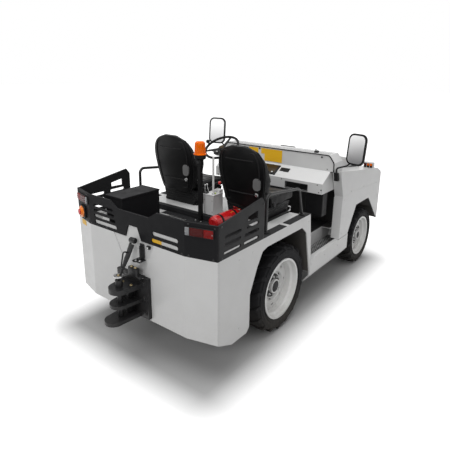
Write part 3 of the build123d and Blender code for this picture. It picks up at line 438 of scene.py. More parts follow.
def colour_setting(name, description, value):
    return bpy.props.FloatVectorProperty(
        name=name, description=description, default=value, size=3, min=0.0, max=1.0, subtype="COLOR"
    )


def length_setting(name, description, value):
    return bpy.props.FloatProperty(name=name, description=description, default=value, unit="LENGTH")


class TugPaint(bpy.types.PropertyGroup):
    """Colours and wear of the finishes"""

    body: colour_setting("Body paint", "Light grey-white paint of the bodywork", (0.6, 0.6, 0.597))
    band: colour_setting("Band paint", "Charcoal of the rear band and tool box", (0.011, 0.011, 0.012))
    rims: colour_setting("Rim paint", "Paint of the wheels", (0.78, 0.78, 0.77))
    red: colour_setting("Extinguisher red", "Paint of the bottle", (0.46, 0.008, 0.01))
    yellow: colour_setting("Label yellow", "Blank labels and the stop's guard", (0.8, 0.45, 0.01))
    amber: colour_setting("Beacon amber", "Lens of the beacon", (1.0, 0.17, 0.0))
    wear: bpy.props.FloatProperty(
        name="Edge wear", description="How much paint is rubbed off the edges",
        default=0.35, min=0.0, max=1.0, subtype="FACTOR",
    )
    dust: bpy.props.FloatProperty(
        name="Road dust", description="How much dust lies on the lower panels",
        default=0.22, min=0.0, max=1.0, subtype="FACTOR",
    )


class TugSeats(bpy.types.PropertyGroup):
    """Sizes of the padding"""

    swell: length_setting("Swell", "How far the padding may swell", 0.024)
    seam: length_setting("Seam depth", "Depth of the sewn channels", 0.006)


class TugStage(bpy.types.PropertyGroup):
    """Floor and light of the studio"""

    floor: colour_setting("Floor", "Colour of the floor", (0.45, 0.45, 0.45))
    key: bpy.props.FloatProperty(
        name="Key light", description="Power of which each lamp has a share",
        default=300.0, min=0.0, unit="POWER",
    )
    world: bpy.props.FloatProperty(
        name="Sky", description="Strength of the even light from all round", default=0.4, min=0.0
    )


# Stage

CAMERA_PLACE = (2.352, REAR - 1.907, 2.138)
CAMERA_AZIMUTH, CAMERA_ELEVATION, CAMERA_ROLL = radians(36.293), radians(15.846), radians(0.931)
CAMERA_LENS, CAMERA_SHIFT = 34.31, (-0.0303, -0.0668)
SHADE_HALF = (0.7, 1.45)  # half width and half length of the painted shadow on the floor, below the vehicle
LAMPS = [  # name, place, aimed at, width, share of the key's power
    ("overhead", (0.2, -1.5, 6.5), (0.0, 0.0, 0.0), 6.0, 0.92),
    ("side", (6.5, -1.5, 3.6), (0.0, 0.0, 0.6), 4.0, 0.08),
    ("rear", (2.2, -7.5, 4.6), (0.0, 0.0, 0.8), 3.0, 0.48),
]


class TUG_OT_stage(bpy.types.Operator):
    """Adds the floor, the studio light and the camera at the photograph's angle"""

    bl_idname = "tug.stage"
    bl_label = "Stage"

    def execute(self, context):
        scene = context.scene
        scene.view_settings.view_transform = "Standard"
        settings = scene.tug_stage

        camera = bpy.data.objects.new("camera", bpy.data.cameras.new("camera"))
        camera.data.lens = CAMERA_LENS
        camera.data.sensor_width = 36.0
        camera.data.shift_x, camera.data.shift_y = CAMERA_SHIFT
        camera.data.clip_end = 300.0
        level_back = Vector((sin(CAMERA_AZIMUTH), -cos(CAMERA_AZIMUTH), 0.0))
        back = level_back * cos(CAMERA_ELEVATION) + Z * sin(CAMERA_ELEVATION)
        right = Vector((cos(CAMERA_AZIMUTH), sin(CAMERA_AZIMUTH), 0.0))
        up = back.cross(right)
        rolled_right = right * cos(CAMERA_ROLL) + up * sin(CAMERA_ROLL)
        rolled_up = up * cos(CAMERA_ROLL) - right * sin(CAMERA_ROLL)
        turn = Matrix((rolled_right, rolled_up, back)).transposed().to_4x4()
        camera.matrix_world = Matrix.Translation(CAMERA_PLACE) @ turn
        scene.collection.objects.link(camera)
        scene.camera = camera

        world = bpy.data.worlds.new("studio")
        scene.world = world
        world.use_nodes = True
        tree = Tree(world.node_tree)
        sky = world.node_tree.nodes["Background"]
        level = tree.span(tree.seen(), 0.0, 1.0, settings.world, 1.0)
        world.node_tree.links.new(level, sky.inputs["Strength"])
        sky.inputs["Color"].default_value = (1.0, 1.0, 1.0, 1.0)

        floor_shape = bmesh.new()
        bmesh.ops.create_grid(floor_shape, x_segments=8, y_segments=8, size=60.0)
        mesh = bpy.data.meshes.new("floor")
        floor_shape.to_mesh(mesh)
        floor_shape.free()
        floor = bpy.data.objects.new("floor", mesh)
        scene.collection.objects.link(floor)
        material = bpy.data.materials.new("studio_floor")
        material.use_nodes = True
        tree = Tree(material.node_tree)
        shader = material.node_tree.nodes["Principled BSDF"]
        cloud = tree.noise(object_place(tree), 0.8, 4.0)
        tone = tree.mix(cloud, (*settings.floor, 1.0), (*(c * 0.985 for c in settings.floor), 1.0))
        material.node_tree.links.new(tone, shader.inputs["Base Color"])
        shader.inputs["Roughness"].default_value = 0.9
        axes = tree.add("SeparateXYZ", {0: object_place(tree)}).outputs
        # Painted shadow: the floor's glow for the camera and for reflections fades to nothing towards the
        # vehicle's footprint.
        beside, beyond = (
            tree.math("SUBTRACT", tree.math("ABSOLUTE", axes[number]), reach)
            for number, reach in enumerate(SHADE_HALF)
        )
        gap = tree.add("CombineXYZ", {
            0: tree.math("MAXIMUM", beside, 0.0), 1: tree.math("MAXIMUM", beyond, 0.0),
        }).outputs[0]
        away = tree.add("VectorMath", {0: gap}, operation="LENGTH").outputs["Value"]
        near = tree.span(away, 0.02, 0.3, 0.0, 0.5)
        far = tree.span(away, 0.06, 0.65, 0.0, 0.5)
        level = tree.math("MULTIPLY", tree.seen(), tree.math("ADD", near, far))
        material.node_tree.links.new(level, shader.inputs["Emission Strength"])
        shader.inputs["Emission Color"].default_value = (1.0, 1.0, 1.0, 1.0)
        mesh.materials.append(material)

        for name, place, target, width, share in LAMPS:
            lamp = bpy.data.objects.new(name, bpy.data.lights.new(name, "AREA"))
            lamp.data.shape = "SQUARE"
            lamp.data.size = width
            lamp.data.energy = settings.key * share
            way = Vector(place) - Vector(target)
            lamp.matrix_world = frame_matrix(Vector(place), way)
            scene.collection.objects.link(lamp)
        return {"FINISHED"}


# Finishes on the frame's own nodes

NODE_FINISHES = {
    "body_paint": [
        "rear_wall", "rear_fenders", "rear_deck", "cargo_floor", "console", "sills", "front_fenders",
        "nose", "hood", "cowl", "dash", "lamp_pods",
    ],
    "cab_shade_paint": ["cab_floor"],
    "band_paint": ["rear_band", "tool_box", "tool_box_lid"],
    "guard_paint": ["side_guards"],
    "chassis_paint": [
        "frame_rails", "leaf_springs", "front_axle", "rear_axle", "knuckle_left", "knuckle_right",
        "tie_rod", "front_bumper", "drive_motor",
    ],
    "housing_paint": ["wheel_housings", "front_housings", "traction_battery"],
    "rim_paint": ["front_rim_left", "front_rim_right", "rear_rim_left", "rear_rim_right"],
    "tyre_rubber": ["front_tyre_left", "front_tyre_right", "rear_tyre_left", "rear_tyre_right"],
    "coupler_iron": ["tow_coupler", "tow_pin"],
    "moulded_black": [
        "beacon_post", "steering_column", "mirror_arms", "instrument_panel", "pedals", "seat_bases",
        "extinguisher_cradle",
    ],
    "rail_black": ["hip_rails"],
    "grip_black": ["deck_strips"],
    "tread_metal": ["step_plates"],
    "amber_lens": ["beacon"],
    "red_lens": ["tail_lamps"],
    "clear_lens": ["headlamps"],
    "stop_yellow": ["emergency_stop"],
    "mirror_silver": ["mirrors"],
    "bottle_red": ["fire_extinguisher"],
    "wheel_grip": ["steering_wheel"],
    "seat_vinyl": [
        "driver_seat_cushion", "driver_seat_back", "passenger_seat_cushion", "passenger_seat_back",
    ],
}


class TUG_OT_finishes(bpy.types.Operator):
    """Makes the procedural finishes and puts them on the frame's nodes"""

    bl_idname = "tug.finishes"
    bl_label = "Finishes"

    def execute(self, context):
        paint = context.scene.tug_paint
        GROUPS.update(make_groups())
        body, band = tuple(paint.body), tuple(paint.band)
        dust, wear = paint.dust, paint.wear
        bare = (0.3, 0.3, 0.3)  # primer that shows where paint is rubbed off
        finish("body_paint", body, 0.36, dust=dust, wear=wear, coat=0.15, tint=0.04)
        # Painted shade: the cab's floor and inner walls are dark charcoal, while outside the cab and below
        # its floor they take the body paint.
        cab_shade = finish("cab_shade_paint", (0.03, 0.03, 0.03), 0.5, dust=dust, wear=wear, tint=0.06, specular=0.2)

        def outside_cab(tree, axes):
            beside = tree.span(tree.math("ABSOLUTE", axes[0]), 0.62, 0.63)
            return tree.math("MAXIMUM", beside, tree.span(axes[2], CAB_FLOOR - 0.002, CAB_FLOOR - 0.006))

        tint_by_place(cab_shade, outside_cab, (*body, 1.0))
        finish("band_paint", band, 0.5, dust=0.04, wear=wear, under=bare, depth=0.0001, specular=0.06)
        finish("guard_paint", (0.018, 0.018, 0.019), 0.42, dust=0.04, wear=wear, under=bare, specular=0.1)
        finish(
            "chassis_paint", (0.014, 0.014, 0.015), 0.5, dust=0.4, wear=0.3, under=(0.12, 0.08, 0.05),
            specular=0.3,
        )
        finish("housing_paint", (0.05, 0.047, 0.043), 0.7, dust=0.35, depth=0.0003, grain_scale=300.0)
        finish("rim_paint", tuple(paint.rims), 0.38, dust=0.45, dust_top=0.7, wear=wear, coat=0.2)
        finish(
            "tyre_rubber", (0.011, 0.011, 0.012), 0.72, dust=0.2, dust_top=0.5, depth=0.0002,
            grain_scale=500.0, round_edges=0.003, specular=0.15,
        )
        finish(
            "coupler_iron", (0.012, 0.012, 0.013), 0.4, dust=0.1, wear=0.6, under=(0.16, 0.14, 0.12),
            specular=0.25,
        )
        finish("moulded_black", (0.008, 0.008, 0.0085), 0.46, depth=0.00012, grain_scale=700.0, specular=0.18)
        finish("rail_black", (0.009, 0.009, 0.0095), 0.34, coat=0.12, wear=0.3, under=bare, specular=0.25)
        finish("grey_plastic", (0.13, 0.13, 0.13), 0.4, depth=0.0002, grain_scale=380.0)
        finish("grip_black", (0.03, 0.03, 0.031), 0.85, depth=0.0009, grain_scale=420.0, specular=0.15)
        finish(
            "wheel_grip", (0.006, 0.006, 0.0065), 0.5, grain="leather_grain", grain_scale=420.0,
            specular=0.14,
        )
        finish(
            "tread_metal", (0.1, 0.1, 0.102), 0.34, grain="brushed", grain_scale=24.0, depth=0.0001,
            metallic=1.0, dust=0.2, dust_top=0.9, tint=0.2,
        )
        finish("steel", (0.5, 0.5, 0.5), 0.3, grain="brushed", grain_scale=60.0, metallic=1.0, tint=0.25)
        finish("brass", (0.4, 0.33, 0.2), 0.36, grain="brushed", grain_scale=60.0, metallic=1.0)
        silver = finish(
            "mirror_silver", (0.98, 0.98, 0.98), 0.3, 0.005, metallic=1.0, round_edges=0.0, depth=0.0,
            tint=0.0,
        )
        # Painted reflection: the mirror glass is white at the top and turns grey towards the bottom.
        tint_by_place(silver, lambda tree, axes: tree.span(axes[2], 1.57, 1.34), (0.5, 0.5, 0.51, 1.0))
        finish("bottle_red", tuple(paint.red), 0.26, coat=0.35, wear=0.2, under=(0.4, 0.4, 0.4))
        finish("stop_yellow", (0.85, 0.22, 0.006), 0.35, coat=0.3)
        finish("button_red", (0.6, 0.012, 0.012), 0.3, coat=0.4)
        finish("label_yellow", tuple(paint.yellow), 0.45, tint=0.05, round_edges=0.0)
        finish("label_lime", (0.45, 0.6, 0.03), 0.45, tint=0.05, round_edges=0.0)
        finish("label_white", (0.75, 0.75, 0.74), 0.4, tint=0.05)
        finish(
            "seat_vinyl", (0.005, 0.005, 0.0053), 0.42, grain="leather_grain", grain_scale=330.0,
            depth=0.00025, round_edges=0.0, specular=0.14,
        )
        finish("seat_shell", (0.005, 0.005, 0.0053), 0.36, depth=0.0002, grain_scale=380.0, specular=0.14)
        finish(
            "mat_rubber", (0.014, 0.014, 0.015), 0.75, depth=0.0002, grain_scale=300.0, dust=0.1,
            specular=0.15,
        )
        finish("screen_glass", (0.045, 0.028, 0.01), 0.15, 0.03, depth=0.0, specular=0.12)
        finish("black_metal", (0.012, 0.012, 0.013), 0.34, depth=0.0001, wear=0.3, under=bare, specular=0.3)
        lens("amber_lens", tuple(paint.amber), glow=0.14)
        lens("red_lens", (0.28, 0.002, 0.0015))
        lens("dark_red_lens", (0.09, 0.0015, 0.001))
        lens("clear_lens", (0.36, 0.37, 0.38))
        lens("orange_lens", (0.9, 0.16, 0.004))
        lens("headlamp_glass", (0.9, 0.92, 0.94), 0.04, 90.0, 0.9)
        for label, nodes in NODE_FINISHES.items():
            for name in nodes:
                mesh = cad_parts[name].data
                mesh.materials.clear()
                mesh.materials.append(FINISHES[label])
        return {"FINISHED"}


# Seats

BACK_LEAN, BACK_CURVE = 0.075, 0.018  # how far a seat's back leans rearwards and curves at its sides
BACK_WIDEST = 0.66  # share of the back's height where it is widest
SEAT_MIDDLE = at(0, 1.08, 0).y
PAD_VOXEL, CHANNEL_WIDTH = 0.007, 0.005  # grid of the padding's mesh, half width of a sewn channel


def back_width(t):
    """Share of a seat back's half width at a share of its height."""
    if t < BACK_WIDEST:
        return 0.76 + 0.24 * sin(pi / 2 * t / BACK_WIDEST)
    return 0.3 + 0.7 * (1 - ((t - BACK_WIDEST) / (1 - BACK_WIDEST)) ** 2.1) ** 0.5


def grid_cube(cuts):
    """Cube two across, its faces cut into a grid."""
    shape = bmesh.new()
    bmesh.ops.create_cube(shape, size=2.0)
    bmesh.ops.subdivide_edges(shape, edges=shape.edges[:], cuts=cuts, use_grid_fill=True)
    return shape


def seat_form(low, high, front, rear, hollow, narrow, cuts=9, wing=0.0):
    """Seat back slab between two depths, leaning back, hollow in front, its sides drawn forward as wings."""
    shape = grid_cube(cuts)
    middle, half = (low.x + high.x) / 2, (high.x - low.x) / 2 - narrow
    height = high.z - low.z
    for vert in shape.verts:
        across, deep, t = vert.co.x, (vert.co.y + 1) / 2, (vert.co.z + 1) / 2
        t = 1 - (1 - t) ** 1.4
        spread = back_width(t)
        depth = rear + (front - rear) * deep
        dish = hollow * deep * (1 - across**2) * (1 - 0.5 * t)
        round_back = BACK_CURVE * (1 - deep) * across**2
        round_back += wing * deep * across**4 * sin(pi * min(1.0, 0.1 + t))
        vert.co = Vector((
            middle + across * half * spread,
            high.y - BACK_LEAN * t - depth - dish + round_back,
            low.z + narrow + t * (height - 2 * narrow),
        ))
    bmesh.ops.recalc_face_normals(shape, faces=shape.faces)
    return shape


def cushion_form(low, high, narrow):
    """Seat cushion with raised sides and a rolled front edge."""
    shape = grid_cube(9)
    middle = (low + high) / 2
    half = (high - low) / 2 - Vector((narrow, narrow, narrow))
    for vert in shape.verts:
        across, along, up = vert.co
        top = (up + 1) / 2
        vert.co = Vector((
            middle.x + across * half.x * (1 - 0.05 * max(0.0, along) ** 2),
            middle.y + along * half.y,
            middle.z + up * half.z + top * (0.012 * across**2 - 0.02 * max(0.0, along) ** 3 - 0.012),
        ))
    bmesh.ops.recalc_face_normals(shape, faces=shape.faces)
    return shape


def pad(name, shape, swell):
    """Padding swollen by a cloth simulation from a closed shape."""
    source = bpy.data.meshes.new(name)
    shape.to_mesh(source)
    shape.free()
    made = bpy.data.objects.new(name, source)
    scene = bpy.context.scene
    scene.collection.objects.link(made)
    remesh = made.modifiers.new("remesh", "REMESH")
    remesh.mode = "VOXEL"
    remesh.voxel_size = PAD_VOXEL
    bake_modifiers(made)
    start = [vert.co.copy() for vert in made.data.vertices]
    cloth = made.modifiers.new("cloth", "CLOTH")
    cloth.settings.use_pressure = True
    cloth.settings.uniform_pressure_force = 4.0
    cloth.settings.effector_weights.gravity = 0.0
    cloth.settings.quality = 5
    cloth.point_cache.frame_start, cloth.point_cache.frame_end = 1, 20
    for number in range(1, 21):
        scene.frame_set(number)
    bake_modifiers(made)
    for vert, place in zip(made.data.vertices, start):
        move = vert.co - place
        if move.length > swell:
            vert.co = place + move.normalized() * swell
    scene.frame_set(1)
    return made


def bake_modifiers(made):
    """Applies the modifiers of an object to its mesh."""
    graph = bpy.context.evaluated_depsgraph_get()
    graph.update()
    mesh = bpy.data.meshes.new_from_object(made.evaluated_get(graph))
    made.modifiers.clear()
    old, made.data = made.data, mesh
    bpy.data.meshes.remove(old)


def sew(made, depth_at):
    """Presses sewn channels into padding; depth_at gives the depth for a vertex."""
    smooth = made.modifiers.new("smooth", "SMOOTH")
    smooth.factor, smooth.iterations = 0.5, 4
    finer = made.modifiers.new("finer", "SUBSURF")
    finer.levels = finer.render_levels = 1
    bake_modifiers(made)
    normals = [vert.normal.copy() for vert in made.data.vertices]
    for vert, normal in zip(made.data.vertices, normals):
        vert.co -= normal * depth_at(vert.co, normal)
    made.data.shade_smooth()


def groove(distance):
    """Share of a channel's depth at a distance from its line."""
    return exp(-((distance / CHANNEL_WIDTH) ** 2))


def finish_pad(made, node):
    """Gives padding its finish and ties it to the solid that it stands for."""
    made.data.materials.clear()
    made.data.materials.append(FINISHES["seat_vinyl"])
    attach(made, "chassis")
    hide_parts(node)


def back_trim(who, low, high):
    """Piping round a seat's back, the raised lines of its shell, the recliner's cover and its knob."""
    middle, half = (low.x + high.x) / 2, (high.x - low.x) / 2
    height, thick = high.z - low.z, high.y - low.y - BACK_LEAN

    def on_shell(across, t):
        y = high.y - BACK_LEAN * t - thick + BACK_CURVE * across**2 - 0.0005
        return Vector((middle + across * half * back_width(t), y, low.z + t * height))

    edge, rim = [], []
    for side in (-1, 1):
        for number in range(1, 14)[::-side]:
            t = number / 13
            edge.append((
                middle + side * (half * back_width(t) - 0.002),
                high.y - BACK_LEAN * t - thick * 0.64, low.z + t * (height - 0.006),
            ))
        rim += [on_shell(side * 0.8, 0.1 + 0.8 * number / 12) for number in range(13)[::-side]]
    rim.append(rim[0])
    shapes = [(tube(edge, 0.0045, 0.01), 0), (tube(rim, 0.005, 0.02), 0)]
    for t in (0.24, 0.78):
        shapes.append((tube([on_shell(-0.62 + 1.24 * number / 8, t) for number in range(9)], 0.005, 0.01), 0))
    cover = rounded_panel(on_shell(0.72, 0.42) - Y * 0.008, 0.07, 0.1, 0.03, 0.012, 0.003, 6)
    shapes.append((cover, 1))
    shapes.append((drum(on_shell(0.74, 0.25) - Y * 0.006, Y, 0.016, 0.014, 0.004), 2))
    piece(
        f"{who}_back_trim", shapes, "chassis", ["moulded_black", "grey_plastic", "steel"],
    )


class TUG_OT_seats(bpy.types.Operator):
    """Adds the padded cushions and backs of both seats, their shells and adjusters"""

    bl_idname = "tug.seats"
    bl_label = "Seats"

    def execute(self, context):
        settings = context.scene.tug_seats
        for who in ("driver", "passenger"):
            low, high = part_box(f"{who}_seat_back")
            middle, half = (low.x + high.x) / 2, (high.x - low.x) / 2
            height = high.z - low.z
            thick = (high.y - low.y) - BACK_LEAN
            front_form = seat_form(low, high, 0.012, thick * 0.66, 0.026, 0.012, wing=0.06)
            back = pad(f"{who}_back_pad", front_form, settings.swell * 0.6)

            def back_channels(place, normal):
                if normal.y < 0.35:
                    return 0.0
                across = abs(place.x - middle) / half
                t = (place.z - low.z) / height
                depth = groove((across - 0.62) * half) if t < 0.86 else 0.0
                if across < 0.62:
                    depth = max(depth, *(groove((t - row) * height) for row in (0.3, 0.5, 0.7)))
                return settings.seam * depth

            sew(back, back_channels)
            finish_pad(back, f"{who}_seat_back")
            shell = piece(
                f"{who}_back_shell",
                [seat_form(low, high, thick * 0.62, thick, 0.0, 0.004, 7)],
                "chassis", "seat_shell",
            )
            rounder = shell.modifiers.new("rounder", "SUBSURF")
            rounder.levels = rounder.render_levels = 2
            back_trim(who, low, high)

            low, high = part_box(f"{who}_seat_cushion")
            middle, half = (low.x + high.x) / 2, (high.x - low.x) / 2
            reach, rear_edge = high.y - low.y, low.y
            cushion = pad(f"{who}_cushion_pad", cushion_form(low, high, 0.012), settings.swell * 0.55)

            def cushion_channels(place, normal):
                if normal.z < 0.35:
                    return 0.0
                across = abs(place.x - middle) / half
                along = (place.y - rear_edge) / reach
                depth = groove((across - 0.66) * half)
                if across < 0.66:
                    depth = max(depth, *(groove((along - row) * reach) for row in (0.3, 0.55, 0.8)))
                return settings.seam * depth

            sew(cushion, cushion_channels)
            finish_pad(cushion, f"{who}_seat_cushion")

            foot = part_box("seat_bases")[0].z
            top = low.z - 0.006
            runners = [  # rails, then the bellows between them and the cushion
                block((middle + side * 0.185, SEAT_MIDDLE, foot + 0.011), (0.03, 0.37, 0.022))
                for side in (-1, 1)
            ]
            folds = 4
            for number in range(folds):
                share = (number + 0.5) / folds
                wide = 0.355 + 0.05 * share
                z = foot + 0.018 + (top - foot - 0.018) * share
                runners.append(block(
                    (middle, SEAT_MIDDLE - 0.0075, z), (wide, 0.381, 0.6 * (top - foot) / folds), 0.009, 3,
                ))
            handle = middle + half + 0.004
            runners.append((drum((handle, low.y + 0.03, low.z + 0.03), X, 0.02, 0.016), 1))
            runners.append((tube([
                (handle - 0.02, low.y + 0.06, low.z + 0.02), (handle + 0.012, low.y + 0.06, low.z + 0.02),
                (handle + 0.012, low.y + 0.2, low.z + 0.04),
            ], 0.006), 1))
            piece(
                f"{who}_seat_runners", runners, "chassis", ["seat_shell", "moulded_black"],
            )
        return {"FINISHED"}


# Wheels


class TUG_OT_wheels(bpy.types.Operator):
    """Adds wheel nuts, hub caps, rims of the wheels' holes, valves and the tyres' sidewall rings"""

    bl_idname = "tug.wheels"
    bl_label = "Wheels"

    def execute(self, context):
        nuts, holes = 8, 5
        wheels = [
            # name, hub face from the middle, nut ring, cap radius, ring on the sidewall,
            # the rim's holes beyond the nut ring, their radius, the valve's place from the middle
            ("rear", 0.014, 0.082, 0.062, 0.315, 0.058, 0.021, 0.2),
            ("front", 0.040, 0.066, 0.050, 0.272, 0.046, 0.015, 0.165),
        ]
        for axle, face, ring, cap, wall, beyond, lip, valve_place in wheels:
            for side, hand in ((-1, "left"), (1, "right")):
                low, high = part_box(f"{axle}_tyre_{hand}")
                centre = (low + high) / 2
                out = X * side
                tread_half = (high.x - low.x) / 2
                flange = [
                    (0.0, 0.0), (ring + 0.022, 0.0), (ring + 0.02, 0.008), (cap + 0.004, 0.012), (0.0, 0.012),
                ]
                shapes = [(turned(flange, centre + out * (face - 0.006), out, 48), 2)]
                for number in range(holes):
                    angle = 2 * pi * (number + 0.5) / holes
                    way = Y * cos(angle) + Z * sin(angle)
                    spot = centre + out * (face - 0.004) + way * (ring + beyond)
                    hole = [
                        (0.0, 0.002), (lip - 0.004, 0.002), (lip - 0.002, 0.007), (lip, 0.007),
                        (lip + 0.002, 0.0),
                    ]
                    shapes.append((turned(hole, spot, out, 28), 2))
                for number in range(nuts):
                    angle = 2 * pi * number / nuts
                    spot = centre + out * face + (Y * cos(angle) + Z * sin(angle)) * ring
                    shapes += bolts([spot], out, 0.011, 0)
                    shapes.append((drum(spot + out * 0.012, out, 0.006, 0.014, 0.001, 16), 0))
                dome = [(0.0, 0.034), (cap * 0.6, 0.031), (cap * 0.9, 0.024), (cap * 0.96, 0.0), (0.0, 0.0)]
                shapes.append((turned(dome, centre + out * (face + 0.004), out, 40), 2))
                valve = centre + out * (face + 0.02) + Z * valve_place
                shapes.append((tube([valve - out * 0.03, valve, valve + out * 0.02 + Z * 0.012], 0.004), 2))
                piece(
                    f"{axle}_wheel_fittings_{hand}", shapes, f"{axle}_wheel_{hand}",
                    ["steel", "rim_paint", "moulded_black"],
                )
                rings = []
                for radius, proud in ((wall, 0.0035), (wall + 0.022, 0.0025), (wall - 0.028, 0.003)):
                    edge = tread_half * 0.985
                    profile = [
                        (radius - 0.005, edge - 0.006), (radius - 0.003, edge + proud - 0.001),
                        (radius + 0.003, edge + proud - 0.001), (radius + 0.005, edge - 0.006),
                    ]
                    for facing in (-1, 1):
                        rings.append(turned(profile, centre, out * facing, 96))
                piece(
                    f"{axle}_sidewall_rings_{hand}", rings, f"{axle}_wheel_{hand}",
                    "tyre_rubber",
                )
        return {"FINISHED"}


# Rear end


def corner_normal(side):
    return Vector((side * sin(CORNER_TURN), -cos(CORNER_TURN), 0))


def corner_point(side, across, outward, z):
    """Point on a slanted rear corner: a distance across from the vehicle's middle, outwards, and a height."""
    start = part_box("rear_wall")[1].x - CORNER_REACH
    depth = (across - start) * CORNER_DEPTH / CORNER_REACH
    return Vector((side * across, REAR + depth, z)) + corner_normal(side) * outward


def corner_block(side, across, outward, z, size, radius, segments=3):
    return block(corner_point(side, across, outward, z), size, radius, segments, turn=side * CORNER_TURN)


class TUG_OT_rear_lamps(bpy.types.Operator):
    """Adds the tail lamps with their three lenses, and the emergency stop"""

    bl_idname = "tug.rear_lamps"
    bl_label = "Rear lamps and stop"

    def execute(self, context):
        for side, hand in ((-1, "left"), (1, "right")):
            shapes = [(corner_block(side, 0.6245, 0.004, 1.149, (0.208, 0.009, 0.064), 0.004), 0)]
            lenses = [  # from, to, finish
                (0.526, 0.556, 3),
                (0.559, 0.655, 2),
                (0.658, 0.723, 1),
            ]
            for start, end, index in lenses:
                middle, width = (start + end) / 2, (end - start) / cos(CORNER_TURN)
                shapes.append((
                    corner_block(side, middle, 0.011, 1.149, (width, 0.009, 0.054), 0.0035), index,
                ))
            spots = [corner_point(side, across, 0.0155, 1.149) for across in (0.53, 0.719)]
            shapes += bolts(spots, corner_normal(side), 0.0028, 4, washer=False)
            piece(
                f"tail_lamp_{hand}", shapes, "chassis",
                ["moulded_black", "red_lens", "dark_red_lens", "clear_lens", "steel"],
                replaces=["tail_lamps"] if side > 0 else (),
            )
        normal = corner_normal(-1)
        shapes = [
            (corner_block(-1, 0.634, 0.009, 1.036, (0.104, 0.014, 0.1), 0.006), 2),
            (drum(corner_point(-1, 0.634, 0.02, 1.036), normal, 0.05, 0.01, 0.003, 8), 0),
        ]
        button = [
            (0.0, 0.0), (0.013, 0.0), (0.013, 0.012), (0.023, 0.015), (0.0225, 0.021), (0.014, 0.024),
            (0.0, 0.0245),
        ]
        shapes.append((turned(button, corner_point(-1, 0.634, 0.022, 1.036), normal, 32), 1))
        collar = [(0.017, 0.0), (0.034, 0.0), (0.034, 0.008), (0.03, 0.011), (0.017, 0.011)]
        shapes.append((turned(collar, corner_point(-1, 0.634, 0.0235, 1.036), normal, 32), 0))
        piece(
            "emergency_stop_button", shapes, "chassis",
            ["stop_yellow", "button_red", "moulded_black"], replaces=["emergency_stop"],
        )
        return {"FINISHED"}


